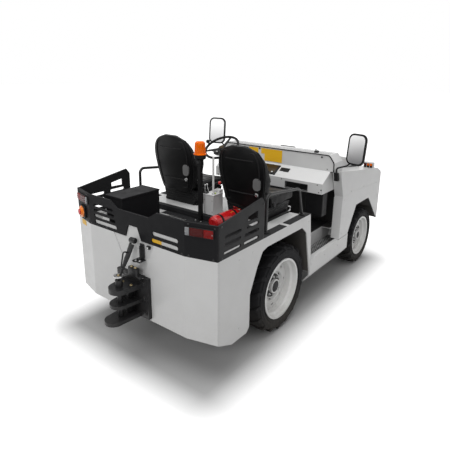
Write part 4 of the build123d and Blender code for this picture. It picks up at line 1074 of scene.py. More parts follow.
class TUG_OT_rear_fittings(bpy.types.Operator):
    """Adds the coupler's bolts, the rod's guide and lever, the latch, blank labels, liners and screws"""

    bl_idname = "tug.rear_fittings"
    bl_label = "Rear fittings"

    def execute(self, context):
        back = -Y
        base_face = REAR - 0.03
        shapes = bolts(
            [(x, base_face, z) for x in (-0.135, 0.135) for z in (0.652, 0.53, 0.41)], back, 0.015, 0,
        )
        shapes.append((block((0.045, REAR - 0.048, 0.729), (0.1, 0.036, 0.076), 0.012), 0))
        shapes.append((block((0.045, REAR - 0.04, 0.7), (0.17, 0.05, 0.02), 0.008), 0))
        shapes += bolts([(x, REAR - 0.05, 0.767) for x in (0.03, 0.07)], Z, 0.009, 1)
        shapes += bolts([(x, REAR - 0.085, 0.638) for x in (-0.04, 0.055)], Z, 0.009, 1)
        shapes += bolts([(0.116, REAR - 0.035, 0.695)], Z, 0.011, 2)
        piece("coupler_bolts", shapes, "chassis", ["coupler_iron", "brass", "steel"])

        guide = [
            (block((0.098, REAR - 0.003, 0.888), (0.045, 0.006, 0.12), 0.003), 0),
            (block((0.112, REAR - 0.022, 0.888), (0.009, 0.04, 0.115), 0.003), 0),
            (block((0.098, REAR - 0.036, 0.83), (0.078, 0.066, 0.007), 0.003), 0),
            (drum(Vector((0.084, REAR - 0.056, 0.83)), Z, 0.024, 0.007, 0.002), 0),
        ]
        guide += bolts([(0.086, REAR - 0.056, 0.8335), (0.12, REAR - 0.048, 0.8335)], Z, 0.007, 1)
        piece("rod_guide", guide, "chassis", ["black_metal", "steel"])

        foot, head = Vector((0.0, REAR - 0.15, 0.69)), Vector((0.0, REAR - 0.018, 0.95))
        along = (head - foot).normalized()
        outward = X.cross(along).normalized()
        outward = outward if outward.y < 0 else -outward
        start, end = foot.lerp(head, 0.3), foot.lerp(head, 0.93)
        corners = [start + X * 0.006, start.lerp(end, 0.4) + X * 0.002, end + X * 0.014]
        corners += [end + X * 0.052, start.lerp(end, 0.4) + X * 0.044, start + X * 0.028]
        corners = [corner + outward * 0.006 for corner in corners]
        collar = [(0.02, 0.0), (0.036, 0.0), (0.036, 0.008), (0.02, 0.01)]
        lever = [
            (plate(corners, outward * 0.012, 0.003), 0),
            (drum(Vector((0.046, REAR - 0.04, 0.972)), X, 0.021, 0.056, 0.007), 0),
            (tube([
                (0.02, REAR - 0.075, 0.884), (0.02, REAR - 0.112, 0.9), (0.02, REAR - 0.138, 0.79),
                (0.02, REAR - 0.112, 0.78),
            ], 0.0055, 0.02), 0),
            (turned(collar, (0.0, REAR - 0.15, 0.717)), 1),
        ]
        lever += bolts([(0.0, REAR - 0.15, 0.724)], Z, 0.009, 2)
        piece("rod_lever", lever, "tow_pin_body", ["black_metal", "steel", "brass"])

        inside = REAR + 0.0098
        liners = [
            block((0.195, inside, 1.005), (0.57, 0.002, 0.13), 0.0005, 1),
            block((-0.3, inside, 0.997), (0.25, 0.002, 0.044), 0.0005, 1),
            block((-0.32, inside, 1.045), (0.08, 0.002, 0.03), 0.0005, 1),
        ]
        piece("band_liners", liners, "chassis", "body_paint")

        latch = [
            (block((0.169, REAR - 0.006, 0.936), (0.034, 0.012, 0.026), 0.003), 0),
            (drum((0.169, REAR - 0.015, 0.936), Y, 0.008, 0.008), 1),
        ]
        piece("rear_latch", latch, "chassis", ["moulded_black", "steel"])

        labels = [
            (corner_block(-1, 0.647, 0.0008, 0.937, (0.088, 0.0016, 0.042), 0.0004, 1), 0),
            (block((0.24, REAR + 0.0078, 0.998), (0.1, 0.0012, 0.03), 0.0003, 1), 0),
        ]
        piece("blank_labels_rear", labels, "chassis", "label_yellow")

        guard_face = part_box("side_guards")[1].x
        screws = []
        for x in (-0.49, -0.3, 0.3, 0.49):
            screws += bolt(Vector((x, REAR, 0.975)), back, 0.005)
        for side in (-1, 1):
            for across, z in ((0.545, 0.975), (0.72, 0.975), (0.73, 1.19), (0.545, 1.195)):
                screws += bolt(corner_point(side, across, 0.0, z), corner_normal(side), 0.005)
            for distance, z in ((0.1, 0.975), (0.58, 0.975), (0.58, 1.235), (0.1, 1.195)):
                screws += bolt(at(side * guard_face, distance, z), X * side, 0.005)
        piece("band_screws", screws, "chassis", "black_metal")
        return {"FINISHED"}


# Deck: beacon, extinguisher, console


class TUG_OT_beacon(bpy.types.Operator):
    """Adds the beacon's ribbed lens, its base, its bracket and its lead down the post"""

    bl_idname = "tug.beacon"
    bl_label = "Beacon"

    def execute(self, context):
        low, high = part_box("beacon")
        centre = Vector(((low.x + high.x) / 2, (low.y + high.y) / 2, low.z))
        height = high.z - low.z
        wide = (high.x - low.x) / 2
        profile = [
            (0.0, 0.0), (wide - 0.002, 0.0), (wide, 0.003), (wide, 0.008), (wide - 0.008, 0.011),
            (wide - 0.0085, 0.016),
        ]
        rows = 5
        step = (height - 0.034) / rows
        for row in range(rows):
            base = 0.016 + row * step
            edge = wide - 0.0085 - 0.0009 * row
            profile += [(edge, base + 0.002), (edge, base + step - 0.003)]
            profile.append((edge - 0.0014, base + step - 0.0015))
        profile += [(wide - 0.016, height - 0.010), (wide - 0.026, height - 0.002), (0.0, height)]
        shapes = [(turned(profile, centre, Z, 64), 0)]
        for number in range(24):
            angle = 2 * pi * number / 24
            around = X * cos(angle) + Y * sin(angle)
            shapes.append((tube([
                centre + around * (wide - 0.009) + Z * 0.018,
                centre + around * (wide - 0.0135) + Z * (height - 0.014),
            ], 0.0014, sides=1), 0))
        piece("beacon_lens", shapes, "chassis", "amber_lens", replaces=["beacon"])
        base = centre - Z * 0.034
        lead = [(0.03, -0.005), (0.04, -0.05), (0.02, -0.12), (0.019, -0.5)]  # forward and up
        fittings = [
            (turned([
                (0.0, -0.003), (wide - 0.012, -0.003), (wide - 0.006, 0.004), (wide - 0.003, 0.033),
                (0.0, 0.033),
            ], base, Z, 48), 0),
            (block(base + Vector((0.0, -0.004, -0.03)), (0.05, 0.044, 0.05), 0.005), 0),
            (drum(base + Vector((0.0, -0.026, -0.03)), Y, 0.012, 0.006, 0.002), 1),
            (tube([base + Vector((0.0, *spot)) for spot in lead], 0.005, 0.04), 0),
        ]
        post_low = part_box("beacon_post")[0]
        fittings += bolts(
            [(centre.x + x, post_low.y + 0.012, post_low.z + 0.008) for x in (-0.03, 0.03)], Z, 0.006, 2,
        )
        piece(
            "beacon_fittings", fittings, "chassis",
            ["moulded_black", "black_metal", "steel"],
        )
        return {"FINISHED"}


class TUG_OT_extinguisher(bpy.types.Operator):
    """Adds the fire extinguisher lying in its cradle, with valve, gauge, hose and straps"""

    bl_idname = "tug.extinguisher"
    bl_label = "Fire extinguisher"

    def execute(self, context):
        low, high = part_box("fire_extinguisher")
        cx, cz = (low.x + high.x) / 2, (low.z + high.z) / 2
        radius = (high.x - low.x) / 2
        start = Vector((cx, low.y, cz))
        profile = [
            (0.0, 0.004), (radius * 0.55, 0.0), (radius * 0.86, 0.008), (radius, 0.03), (radius, 0.268),
            (radius * 0.93, 0.296), (radius * 0.7, 0.318), (0.022, 0.332), (0.019, 0.345), (0.0, 0.345),
        ]
        shapes = [(turned(profile, start, Y, 56), 0)]
        rise = (radius**2 - 0.028**2) ** 0.5 - 0.001
        label = [
            start + Vector((across, along, rise))
            for across, along in ((-0.028, 0.19), (0.028, 0.19), (0.028, 0.232), (-0.028, 0.232))
        ]
        shapes.append((plate(label, Vector((0.0, 0.0, 0.0022)), 0.0004, 1), 5))
        for place in (0.075, 0.245):
            strap = [
                (radius - 0.001, place - 0.011), (radius + 0.0015, place - 0.011),
                (radius + 0.0015, place + 0.011), (radius - 0.001, place + 0.011),
            ]
            shapes.append((turned(strap, start, Y, 56), 1))
        head = start + Y * 0.333
        shapes.append((drum(head + Y * 0.012, Y, 0.017, 0.03), 2))
        shapes.append((block(head + Y * 0.03, (0.022, 0.024, 0.03), 0.003), 2))
        shapes.append((block(head + Vector((0, -0.012, 0.044)), (0.018, 0.11, 0.006), 0.002, tilt=-0.45), 0))
        shapes.append((block(head + Vector((0, -0.004, 0.024)), (0.018, 0.085, 0.005), 0.002, tilt=-0.2), 0))
        gauge = head + Vector((-0.004, 0.012, 0.026))
        shapes.append((drum(gauge, Z, 0.014, 0.012), 2))
        shapes.append((drum(gauge + Z * 0.0065, Z, 0.0115, 0.002, 0.0005), 6))
        hose = [
            head + Vector((0.016, 0.03, 0.004)), head + Vector((0.06, 0.034, 0.02)),
            head + Vector((0.084, -0.01, 0.024)), head + Vector((0.088, -0.14, 0.0)),
        ]
        shapes.append((tube(hose, 0.008, 0.04), 0))
        shapes.append((drum(hose[-1] - Y * 0.03, Y, 0.011, 0.07, 0.002, top=0.015), 1))
        piece(
            "extinguisher_bottle", shapes, "chassis",
            ["bottle_red", "moulded_black", "steel", "label_white", "brass", "label_lime", "label_yellow"],
            replaces=["fire_extinguisher"],
        )
        return {"FINISHED"}


class TUG_OT_console(bpy.types.Operator):
    """Adds the levers, knobs, plate and slender pole of the console between the seats"""

    bl_idname = "tug.console"
    bl_label = "Console"

    def execute(self, context):
        low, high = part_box("console")
        cx, cy, top = (low.x + high.x) / 2, (low.y + high.y) / 2, high.z
        wide, deep = high.x - low.x, high.y - low.y
        shapes = [
            (block((cx, cy, top + 0.004), (wide + 0.004, deep + 0.004, 0.012), 0.003), 0),
            (block((cx + 0.02, cy + 0.05, top + 0.022), (wide - 0.05, 0.05, 0.03), 0.005), 0),
            (block((cx - 0.038, cy - 0.045, top + 0.014), (0.028, 0.034, 0.012), 0.003), 1),
        ]
        for x, y, lean in ((-0.046, -0.05, -0.01), (-0.03, -0.02, -0.03)):
            foot = Vector((cx + x, cy + y, top + 0.008))
            tip = foot + Vector((lean, 0.01, 0.07))
            shapes.append((tube([foot, foot + Vector((lean * 0.3, 0.0, 0.03)), tip], 0.003), 2))
            shapes.append((ball(tip, 0.008), 3))
        shapes.append((drum((cx + 0.03, cy - 0.01, top + 0.013), Z, 0.009, 0.008), 4))
        pole = Vector((cx + 0.03, cy - 0.033, top))
        shapes.append((tube([pole, pole + Z * 0.33], 0.009), 3))
        shapes.append((drum(pole + Z * 0.012, Z, 0.014, 0.012, 0.003), 2))
        lever = [
            Vector((cx - 0.01, cy + 0.045, top)), Vector((cx - 0.025, cy + 0.055, top + 0.075)),
            Vector((cx + 0.022, cy + 0.055, top + 0.092)),
        ]
        shapes.append((tube(lever, 0.011, 0.03), 1))
        shapes.append((ball(lever[-1] + X * 0.006, 0.016, X, 0.8), 5))
        shapes += bolts([(cx + x, low.y, z) for z in (0.99, 1.09) for x in (-0.042, 0.042)], -Y, 0.004, 2)
        piece(
            "console_controls", shapes, "chassis",
            ["body_paint", "moulded_black", "steel", "label_white", "label_lime", "button_red"],
        )
        return {"FINISHED"}


# Cab


class TUG_OT_mirrors(bpy.types.Operator):
    """Adds the mirrors' shells, glass and clamps"""

    bl_idname = "tug.mirrors"
    bl_label = "Mirrors"

    def execute(self, context):
        width, height, thick = 0.204, 0.3, 0.022
        turn, tip = radians(15), radians(6)
        for side, z, hand in ((-1, 1.487, "left"), (1, 1.455, "right")):
            glass = at(side * 0.853, 2.01, z)
            placed = (
                Matrix.Translation(glass) @ Matrix.Rotation(-side * turn, 4, "Z")
                @ Matrix.Rotation(-tip, 4, "X")
            )
            shell = rounded_panel((0, 0, 0), width, height, 0.06, thick, 0.009)
            face = rounded_panel((0, -0.0012, 0), width - 0.034, height - 0.034, 0.046, 0.003, 0.0008)
            clamp = drum((0, 0.036, 0.0), Z, 0.013, 0.045, 0.002)
            for shape in (shell, face, clamp):
                bmesh.ops.transform(shape, matrix=placed, verts=shape.verts)
            piece(
                f"mirror_{hand}", [(shell, 0), (face, 1), (clamp, 0)], "chassis",
                ["moulded_black", "mirror_silver"], replaces=["mirrors"] if side > 0 else (),
            )
        return {"FINISHED"}


def rounded_panel(centre, width, height, corner, thick, soft, steps=10):
    """Upright panel with round corners that faces rearwards; it is thick towards the front."""
    shape = bmesh.new()
    bmesh.ops.create_cube(shape, size=1.0)
    bmesh.ops.scale(shape, vec=Vector((width, thick, height)), verts=shape.verts)
    uprights = [e for e in shape.edges if abs(e.verts[0].co.y - e.verts[1].co.y) > thick * 0.9]
    round_off(shape, uprights, corner, steps)
    front = [
        e for e in shape.edges
        if e.verts[0].co.y > thick * 0.49 and e.verts[1].co.y > thick * 0.49 and len(e.link_faces) == 2
        and sum(abs(f.normal.y) > 0.9 for f in e.link_faces) == 1
    ]
    round_off(shape, front, soft, 4)
    bmesh.ops.translate(shape, vec=Vector(centre) + Y * thick / 2, verts=shape.verts)
    return shape


class TUG_OT_steering(bpy.types.Operator):
    """Adds the steering wheel with its spokes, horn button and spinner knob, and the column's stalks"""

    bl_idname = "tug.steering"
    bl_label = "Steering wheel"

    def execute(self, context):
        pitch = radians(60)
        axis = Vector((0.0, -cos(pitch), sin(pitch)))
        centre = at(-0.4, 1.53, 1.4)
        ring = 0.177
        profile = []
        for step in range(14):
            angle = 2 * pi * step / 14
            profile.append((ring + 0.013 * cos(angle), 0.0125 * sin(angle)))
        shapes = [(turned(profile, centre, axis, 120), 0)]
        flat = frame_matrix(centre, axis)
        across, upward = (flat @ Vector((1, 0, 0, 0))).xyz, (flat @ Vector((0, 1, 0, 0))).xyz
        for number in range(36):
            angle = 2 * pi * number / 36
            if sin(angle) < -0.2:
                continue
            way = across * cos(angle) + upward * sin(angle)
            bump = centre + way * ring - axis * 0.0122
            shapes.append((ball(bump, 0.0045, axis, 0.6), 0))
        for degrees_round in (90, 210, 330):
            angle = radians(degrees_round)
            way = across * cos(angle) + upward * sin(angle)
            side = axis.cross(way)
            inner, outer = centre + way * 0.034 - axis * 0.012, centre + way * (ring - 0.008) - axis * 0.002
            corners = [inner + side * 0.02, outer + side * 0.011, outer - side * 0.011, inner - side * 0.02]
            shapes.append((plate(corners, -axis * 0.007, 0.0022), 1))
        hub = [(0.0, -0.04), (0.036, -0.04), (0.042, -0.03), (0.042, -0.008), (0.034, 0.002), (0.0, 0.004)]
        shapes.append((turned(hub, centre, axis, 48), 1))
        horn = [(0.0, 0.002), (0.026, 0.002), (0.026, 0.006), (0.02, 0.009), (0.0, 0.010)]
        shapes.append((turned(horn, centre, axis, 40), 2))
        knob_way = across * cos(radians(176)) + upward * sin(radians(176))
        stem = centre + knob_way * ring + axis * 0.012
        shapes.append((drum(stem + axis * 0.006, axis, 0.007, 0.02), 1))
        knob = [(0.0, 0.0), (0.014, 0.0), (0.02, 0.008), (0.021, 0.02), (0.015, 0.03), (0.0, 0.032)]
        shapes.append((turned(knob, stem + axis * 0.014, axis, 32), 1))
        piece(
            "steering_wheel_rim", shapes, "steering_wheel_body",
            ["wheel_grip", "moulded_black", "screen_glass"], replaces=["steering_wheel"],
        )
        low_end = centre - axis * 0.1
        stalks = [
            (turned([
                (0.0, -0.045), (0.05, -0.045), (0.056, -0.03), (0.058, 0.03), (0.05, 0.05), (0.0, 0.052),
            ], low_end, axis, 40), 0),
            (block(low_end + Y * 0.03, (0.13, 0.07, 0.06), 0.014, 4, tilt=-radians(30)), 0),
            (block(low_end - X * 0.075 + axis * 0.012, (0.1, 0.06, 0.05), 0.012, 4, tilt=-radians(30)), 0),
            (drum(low_end - X * 0.085 + axis * 0.038, axis, 0.018, 0.012, 0.003), 1),
        ]
        for side in (-1, 1):
            foot = low_end + X * side * 0.05
            knee = foot + X * side * 0.05 + axis * 0.01
            end = foot + X * side * 0.12 + axis * 0.035
            stalks.append((tube([foot, knee, end], 0.005), 0))
            stalks.append((drum(end + X * side * 0.005, X * side + axis * 0.3, 0.008, 0.03, 0.003), 0))
        stalks += bolts(
            [low_end + X * side * 0.03 - Y * 0.048 + Z * 0.01 for side in (-1, 1)], -Y, 0.004, 1,
        )
        piece("column_stalks", stalks, "chassis", ["moulded_black", "steel"])
        return {"FINISHED"}


class TUG_OT_dashboard(bpy.types.Operator):
    """Adds the display, switches, knobs, blank labels, edge trims and screws of the dash and cowl"""

    bl_idname = "tug.dashboard"
    bl_label = "Dashboard"

    def execute(self, context):
        shelf_low, shelf_high, shelf_deep = 1.132, 1.215, 0.14
        slope = (shelf_high - shelf_low) / shelf_deep
        upward = Vector((0.0, 1.0, slope)).normalized()
        face = X.cross(upward).normalized()
        if face.z < 0:
            face = -face

        def on_shelf(x, distance, lift):
            return at(x, distance, shelf_low + (distance - FASCIA) * slope) + face * lift

        tilt = atan2(shelf_high - shelf_low, shelf_deep)
        shapes = [
            (block(on_shelf(0.0035, 1.8275, -0.001), (0.212, 0.148, 0.012), 0.003, tilt=tilt), 0),
            (block(on_shelf(-0.006, 1.832, 0.0055), (0.182, 0.118, 0.003), 0.001, tilt=tilt), 1),
            (block(on_shelf(0.142, 1.82, 0.0), (0.066, 0.098, 0.004), 0.001, tilt=tilt), 3),
            (block(on_shelf(0.18, 1.846, 0.002), (0.104, 0.052, 0.01), 0.003, tilt=tilt), 0),
            (block(on_shelf(0.18, 1.846, 0.007), (0.07, 0.03, 0.006), 0.002, tilt=tilt), 4),
            (block(at(0.5525, 1.85, 0.9695), (0.185, 0.1, 0.359), 0.006), 0),
        ]
        shapes.append((drum(on_shelf(0.065, 1.786, 0.008), face, 0.016, 0.014, 0.003), 0))
        shapes.append((drum(on_shelf(0.065, 1.786, 0.016), face, 0.010, 0.006, 0.002), 2))
        shapes.append((drum(on_shelf(-0.17, 1.8, 0.006), face, 0.016, 0.014, 0.002), 0))
        shapes.append((block(on_shelf(-0.17, 1.8, 0.02), (0.008, 0.026, 0.018), 0.003, tilt=tilt), 2))
        piece(
            "dash_controls", shapes, "chassis",
            ["moulded_black", "screen_glass", "steel", "body_paint", "seat_shell"],
            replaces=["instrument_panel"],
        )

        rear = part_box("cowl")[0].y
        knobs = []
        for x, z in ((-0.175, 1.368), (0.557, 1.362)):
            centre = Vector((x, rear, z))
            knobs.append(turned([(0.0, 0.0), (0.008, 0.0), (0.009, 0.005), (0.0, 0.007)], centre, -Y, 24))
        knobs.append(drum(at(0.643, 1.7485, 1.073), Y, 0.007, 0.004, 0.001, 16))
        knobs.append(block(at(0.46, 1.975, 1.396), (0.034, 0.05, 0.016), 0.004))
        knobs.append(tube([
            at(0.455, 1.965, 1.395), at(0.455, 1.95, 1.42), at(0.475, 1.95, 1.42), at(0.475, 1.965, 1.395),
        ], 0.003, 0.008))
        piece("cowl_knobs", knobs, "chassis", "moulded_black")

        trim = []
        for side in (-1, 1):
            trim.append(tube([
                (side * 0.688, rear - 0.002, 1.233), (side * 0.688, rear - 0.002, 1.316),
                (side * 0.634, rear - 0.002, 1.3865), (0.0, rear - 0.002, 1.3865),
            ], 0.0055, 0.02))
        piece("cowl_edge_trim", trim, "chassis", "moulded_black")

        notched = [
            (-0.156, 1.372), (0.106, 1.372), (0.106, 1.243), (-0.112, 1.243), (-0.112, 1.316),
            (-0.156, 1.316),
        ]
        labels = [
            block(at(-0.253, COWL_REAR - 0.0014, 1.343), (0.12, 0.0016, 0.056), 0.0004, 1),
            plate([at(x, COWL_REAR - 0.0005, z) for x, z in notched], -Y * 0.0016),
        ]
        piece("blank_labels_cowl", labels, "chassis", "label_yellow")

        screws = []
        for x in (-0.6, -0.2, 0.0, 0.2, 0.6):
            screws += bolt(at(x, FASCIA, 1.118), -Y, 0.004)
        for x in (-0.62, 0.62):
            screws += bolt(at(x, FASCIA, 1.045), -Y, 0.004)
            screws += bolt(Vector((x, rear, 1.25)), -Y, 0.004)
        glove_x, glove_z, glove_wide, glove_tall, lip = 0.372, 1.071, 0.252, 0.066, 0.006
        glove = [
            block(at(glove_x, FASCIA - 0.001, z), (glove_wide, 0.008, lip), 0.002)
            for z in (glove_z - 0.0315, glove_z + 0.0315)
        ]
        glove += [
            block(at(x, FASCIA - 0.001, glove_z), (lip, 0.008, glove_tall), 0.002)
            for x in (glove_x - 0.1245, glove_x + 0.1245)
        ]
        piece("fascia_screws", screws + glove, "chassis", "black_metal")
        return {"FINISHED"}


class TUG_OT_floor_covering(bpy.types.Operator):
    """Adds the cab and cargo mats, the raised studs of the step plates and the pedals' rubber pads"""

    bl_idname = "tug.floor_covering"
    bl_label = "Mat, steps and pedals"

    def execute(self, context):
        half = 0.527
        start, end = REAR + 1.4, REAR + 2.236
        middle, reach = (start + end) / 2, end - start
        shapes = [block((0.0, middle, CAB_FLOOR + 0.003), (2 * half, reach, 0.006), 0.002)]
        rows = 44
        for row in range(rows):
            x = -half + 0.02 + row * (2 * half - 0.04) / (rows - 1)
            shapes.append(block((x, middle, CAB_FLOOR + 0.007), (0.011, reach - 0.03, 0.003), 0.001, 1))
        piece("cab_mat", shapes, "chassis", "mat_rubber")

        low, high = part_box("cargo_floor")
        level = low.z + 0.012
        start, end = -0.385, high.x - 0.02  # across, from beside the tool box to near the right edge
        mat_rear, wall = low.y + 0.0575, high.y - 0.008
        sheets = [  # mat, the wall in front of it, a steel strip, rubber on the seat deck's rear edge
            (block(
                ((start + end) / 2, (mat_rear + wall - 0.005) / 2, level + 0.003),
                (end - start, wall - 0.005 - mat_rear, 0.006), 0.002,
            ), 0),
            (block((0.0, wall - 0.002, (level + 0.95) / 2), (2 * end, 0.003, 0.946 - level), 0.001), 0),
            (block((start + 0.16, REAR + 0.622, level + 0.008), (0.32, 0.026, 0.006), 0.002), 1),
            (block((0.0, REAR + 0.742, DECK_TOP + 0.0015), (1.34, 0.05, 0.003), 0.001), 0),
            (block((0.0, REAR + 0.7182, DECK_TOP - 0.006), (1.34, 0.003, 0.018), 0.001), 0),
        ]
        piece("cargo_mat", sheets, "chassis", ["mat_rubber", "steel"])

        low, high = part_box("step_plates")
        studs = []
        stud_step, row_step, columns = 0.024, 0.017, 7
        for side in (-1, 1):
            for row in range(int((high.y - low.y - 0.035) / row_step) + 1):
                shifted = row % 2  # every other row is half a step further out and one stud shorter
                for column in range(columns - shifted):
                    x = high.x - 0.162 + (column + shifted / 2) * stud_step
                    y = low.y + 0.02 + row * row_step
                    turn = radians(45 if (row + column) % 2 else -45)
                    studs.append(stud(Vector((side * x, y, high.z)), turn))
        piece("step_studs", studs, "chassis", "steel")

        pads = []
        tilt = -radians(30.5)
        for x, width in ((-0.375, 0.094), (-0.23, 0.064)):
            middle = at(x, 2.1935, 0.6735)
            pads.append(block(middle, (width, 0.102, 0.007), 0.003, tilt=tilt))
            for number in range(7):
                along = (number - 3) * 0.0135
                spot = middle + Vector((0.0, along * cos(tilt), along * sin(tilt) + 0.0045))
                pads.append(block(spot, (width - 0.012, 0.006, 0.003), 0.001, 1, tilt=tilt))
        piece("pedal_pads", pads, "chassis", "mat_rubber")
        return {"FINISHED"}


def stud(centre, turn):
    """Small raised lozenge of tread plate."""
    shape = bmesh.new()
    bmesh.ops.create_cone(shape, cap_ends=True, segments=6, radius1=0.010, radius2=0.006, depth=0.003)
    bmesh.ops.scale(shape, vec=Vector((1.0, 0.36, 1.0)), verts=shape.verts)
    placed = Matrix.Translation(centre + Z * 0.001) @ Matrix.Rotation(turn, 4, "Z")
    bmesh.ops.transform(shape, matrix=placed, verts=shape.verts)
    return shape


# Front


class TUG_OT_front_lamps(bpy.types.Operator):
    """Adds the headlamps, the lamps in the pods, and the small side lamps"""

    bl_idname = "tug.front_lamps"
    bl_label = "Front lamps"

    def execute(self, context):
        low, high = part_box("headlamps")
        radius = (high.z - low.z) / 2
        shapes = []
        for side in (-1, 1):
            centre = Vector((side * (high.x - radius), high.y, (low.z + high.z) / 2))
            bezel = [
                (radius - 0.012, -0.03), (radius, -0.03), (radius, -0.002), (radius - 0.003, 0.0),
                (radius - 0.010, -0.001), (radius - 0.012, -0.006),
            ]
            shapes.append((turned(bezel, centre, Y, 64), 0))
            bowl = [
                (0.0, -0.045), (0.022, -0.043), (0.05, -0.03), (radius - 0.012, -0.012),
                (radius - 0.012, -0.05), (0.0, -0.05),
            ]
            shapes.append((turned(bowl, centre, Y, 64), 1))
            glass = [
                (0.0, -0.002), (0.03, -0.003), (0.055, -0.006), (radius - 0.011, -0.010),
                (radius - 0.011, -0.013), (0.0, -0.008),
            ]
            shapes.append((turned(glass, centre, Y, 64), 2))
        piece(
            "headlamp_units", shapes, "chassis", ["black_metal", "steel", "headlamp_glass"],
            replaces=["headlamps"],
        )

        pod_low, pod_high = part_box("lamp_pods")
        dots = []
        level = (pod_low.z + pod_high.z) / 2
        for side in (-1, 1):
            cx = side * (pod_high.x - 0.058)
            for index in (1, 2, 3):
                x = cx + (index - 2) * 0.034
                for face, out in ((pod_low.y, -1), (pod_high.y, 1)):
                    middle = Vector((x, face + out * 0.001, level + 0.002))
                    dots.append((block(middle, (0.029, 0.004, 0.05), 0.0015), 0))
                    middle = Vector((x, face + out * 0.004, level + 0.012))
                    dots.append((block(middle, (0.025, 0.008, 0.025), 0.0035), index if out < 0 else 4))
        piece(
            "pod_lamps", dots, "chassis",
            ["moulded_black", "dark_red_lens", "orange_lens", "amber_lens", "clear_lens"],
        )

        side_lamps, rims, lamps = [], [], []
        for side in (-1, 1):
            side_lamps.append(block(at(side * (HALF_WIDTH - 0.004), 2.7, 0.98), (0.006, 0.064, 0.03), 0.003))
            on_hood = at(side * (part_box("hood")[1].x + 0.002), 2.93, 1.15)
            rims.append((drum(on_hood, X, 0.018, 0.008, 0.003), 1))
            lamps.append((drum(on_hood + X * side * 0.005, X, 0.013, 0.01, 0.004), 0))
        piece("side_lamps", side_lamps, "chassis", "orange_lens")
        piece("hood_lamps", rims + lamps, "hood_body", ["orange_lens", "moulded_black"])
        return {"FINISHED"}


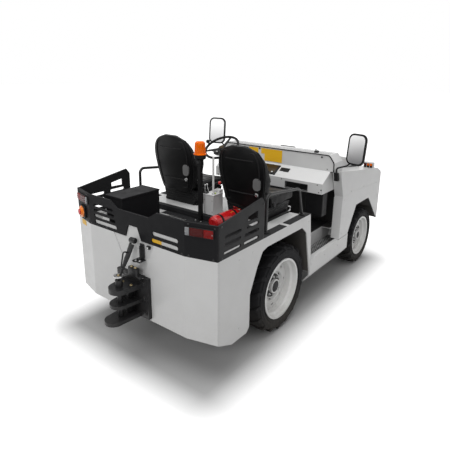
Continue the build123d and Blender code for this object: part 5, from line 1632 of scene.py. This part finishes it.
class TUG_OT_body_trim(bpy.types.Operator):
    """Adds arch flares, the hood's handle and seals, seams, creases, the seat release and panel screws"""

    bl_idname = "tug.body_trim"
    bl_label = "Body trim"

    def execute(self, context):
        flare = []
        front_arch = [(2.242, 0.516), (2.427, 0.79), (2.795, 0.79), (3.126, 0.464)]
        for side in (-1, 1):
            route = [at(side * (HALF_WIDTH - 0.008), distance, z) for distance, z in front_arch]
            flare.append(tube(route, 0.007, 0.05, sides=4))
        piece("arch_flares", flare, "chassis", "moulded_black")

        low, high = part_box("hood")
        handle = [
            (tube([
                at(-0.09, 2.2, 1.347), at(-0.09, 2.2, 1.372), at(0.09, 2.2, 1.372), at(0.09, 2.2, 1.347),
            ], 0.006, 0.02), 0),
        ]
        for side in (-1, 1):
            handle.append((block(at(side * (high.x + 0.002), 2.13, 1.24), (0.01, 0.03, 0.05), 0.003), 0))
        piece("hood_handle", handle, "hood_body", "moulded_black")

        seams = []
        cowl_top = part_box("cowl")[1].z
        for distance in (1.955, 2.005):
            seams.append(block(at(0.0, distance, cowl_top), (1.24, 0.007, 0.002), 0.0006, 1))
        piece("cowl_seams", seams, "chassis", "moulded_black")
        seams = [
            block(at(side * (high.x + 0.001), 2.53, low.z + 0.03), (0.004, 0.84, 0.03), 0.001)
            for side in (-1, 1)
        ]
        piece("hood_seals", seams, "hood_body", "moulded_black")
        crease = [(2.04, 0.968), (3.1, 0.923)]
        creases = [
            tube([at(side * (HALF_WIDTH - 0.0005), *end) for end in crease], 0.0022, sides=3)
            for side in (-1, 1)
        ]
        piece("fender_creases", creases, "chassis", "body_paint")
        hooks = [tube([
            at(0.585, 1.235, 0.985), at(0.585, 1.268, 0.985), at(0.585, 1.268, 1.02), at(0.585, 1.225, 1.03),
        ], 0.006, 0.016)]
        piece("seat_release", hooks, "chassis", "steel")

        on_side = [(2.08, z) for z in (0.56, 0.75, 0.92)]
        on_side += [(2.25, 0.98), (2.6, 0.96), (3.0, 0.93), (3.1, 0.75), (3.1, 0.55)]
        on_side += [(distance, 0.46) for distance in (1.42, 1.7, 2.0, 2.22)]
        on_side += [(0.3, 0.36), (0.3, 0.9), (0.46, 0.9), (1.32, 0.9)]
        on_deck = [(-0.406, 0.827), (-0.138, 0.82), (0.66, 0.95), (0.64, 1.2), (-0.66, 0.95), (-0.64, 1.2)]
        screws = []
        for side in (-1, 1):
            for distance, z in on_side:
                screws += bolt(at(side * HALF_WIDTH, distance, z), X * side, 0.0055)
        for x in (-0.7, -0.35, 0.0, 0.35, 0.7):
            for z in (0.48, 0.99):
                screws += bolt(at(x, FRONT_FACE, z), Y, 0.0055)
        for x, distance in on_deck:
            screws += bolt(at(x, distance, DECK_TOP), Z, 0.005)
        piece("body_screws", screws, "chassis", "body_paint")
        return {"FINISHED"}


# Panel and registration


class TUG_PT_panel(bpy.types.Panel):
    """Lists the tug's pieces and settings in the sidebar"""

    bl_idname = "TUG_PT_panel"
    bl_label = "Baggage Tug"
    bl_space_type = "VIEW_3D"
    bl_region_type = "UI"
    bl_category = "Tug"

    def draw(self, context):
        for group in (context.scene.tug_paint, context.scene.tug_seats, context.scene.tug_stage):
            box = self.layout.box()
            for key in group.bl_rna.properties.keys():
                if key not in ("rna_type", "name"):
                    box.prop(group, key)
        for operator in OPERATORS:
            self.layout.operator(operator.bl_idname)


SETTINGS = [("tug_paint", TugPaint), ("tug_seats", TugSeats), ("tug_stage", TugStage)]
OPERATORS = [
    TUG_OT_finishes, TUG_OT_stage, TUG_OT_seats, TUG_OT_wheels, TUG_OT_rear_lamps, TUG_OT_rear_fittings,
    TUG_OT_beacon, TUG_OT_extinguisher, TUG_OT_console, TUG_OT_mirrors, TUG_OT_steering, TUG_OT_dashboard,
    TUG_OT_floor_covering, TUG_OT_front_lamps, TUG_OT_body_trim,
]


def register():
    for cls in [c for _, c in SETTINGS] + OPERATORS + [TUG_PT_panel]:
        bpy.utils.register_class(cls)
    for name, cls in SETTINGS:
        setattr(bpy.types.Scene, name, bpy.props.PointerProperty(type=cls))


def unregister():
    for name, _ in SETTINGS:
        delattr(bpy.types.Scene, name)
    for cls in reversed([c for _, c in SETTINGS] + OPERATORS + [TUG_PT_panel]):
        bpy.utils.unregister_class(cls)


def main():
    register()
    for operator in OPERATORS:
        category, action = operator.bl_idname.split(".")
        getattr(getattr(bpy.ops, category), action)()


if __name__ == "__main__":
    main()
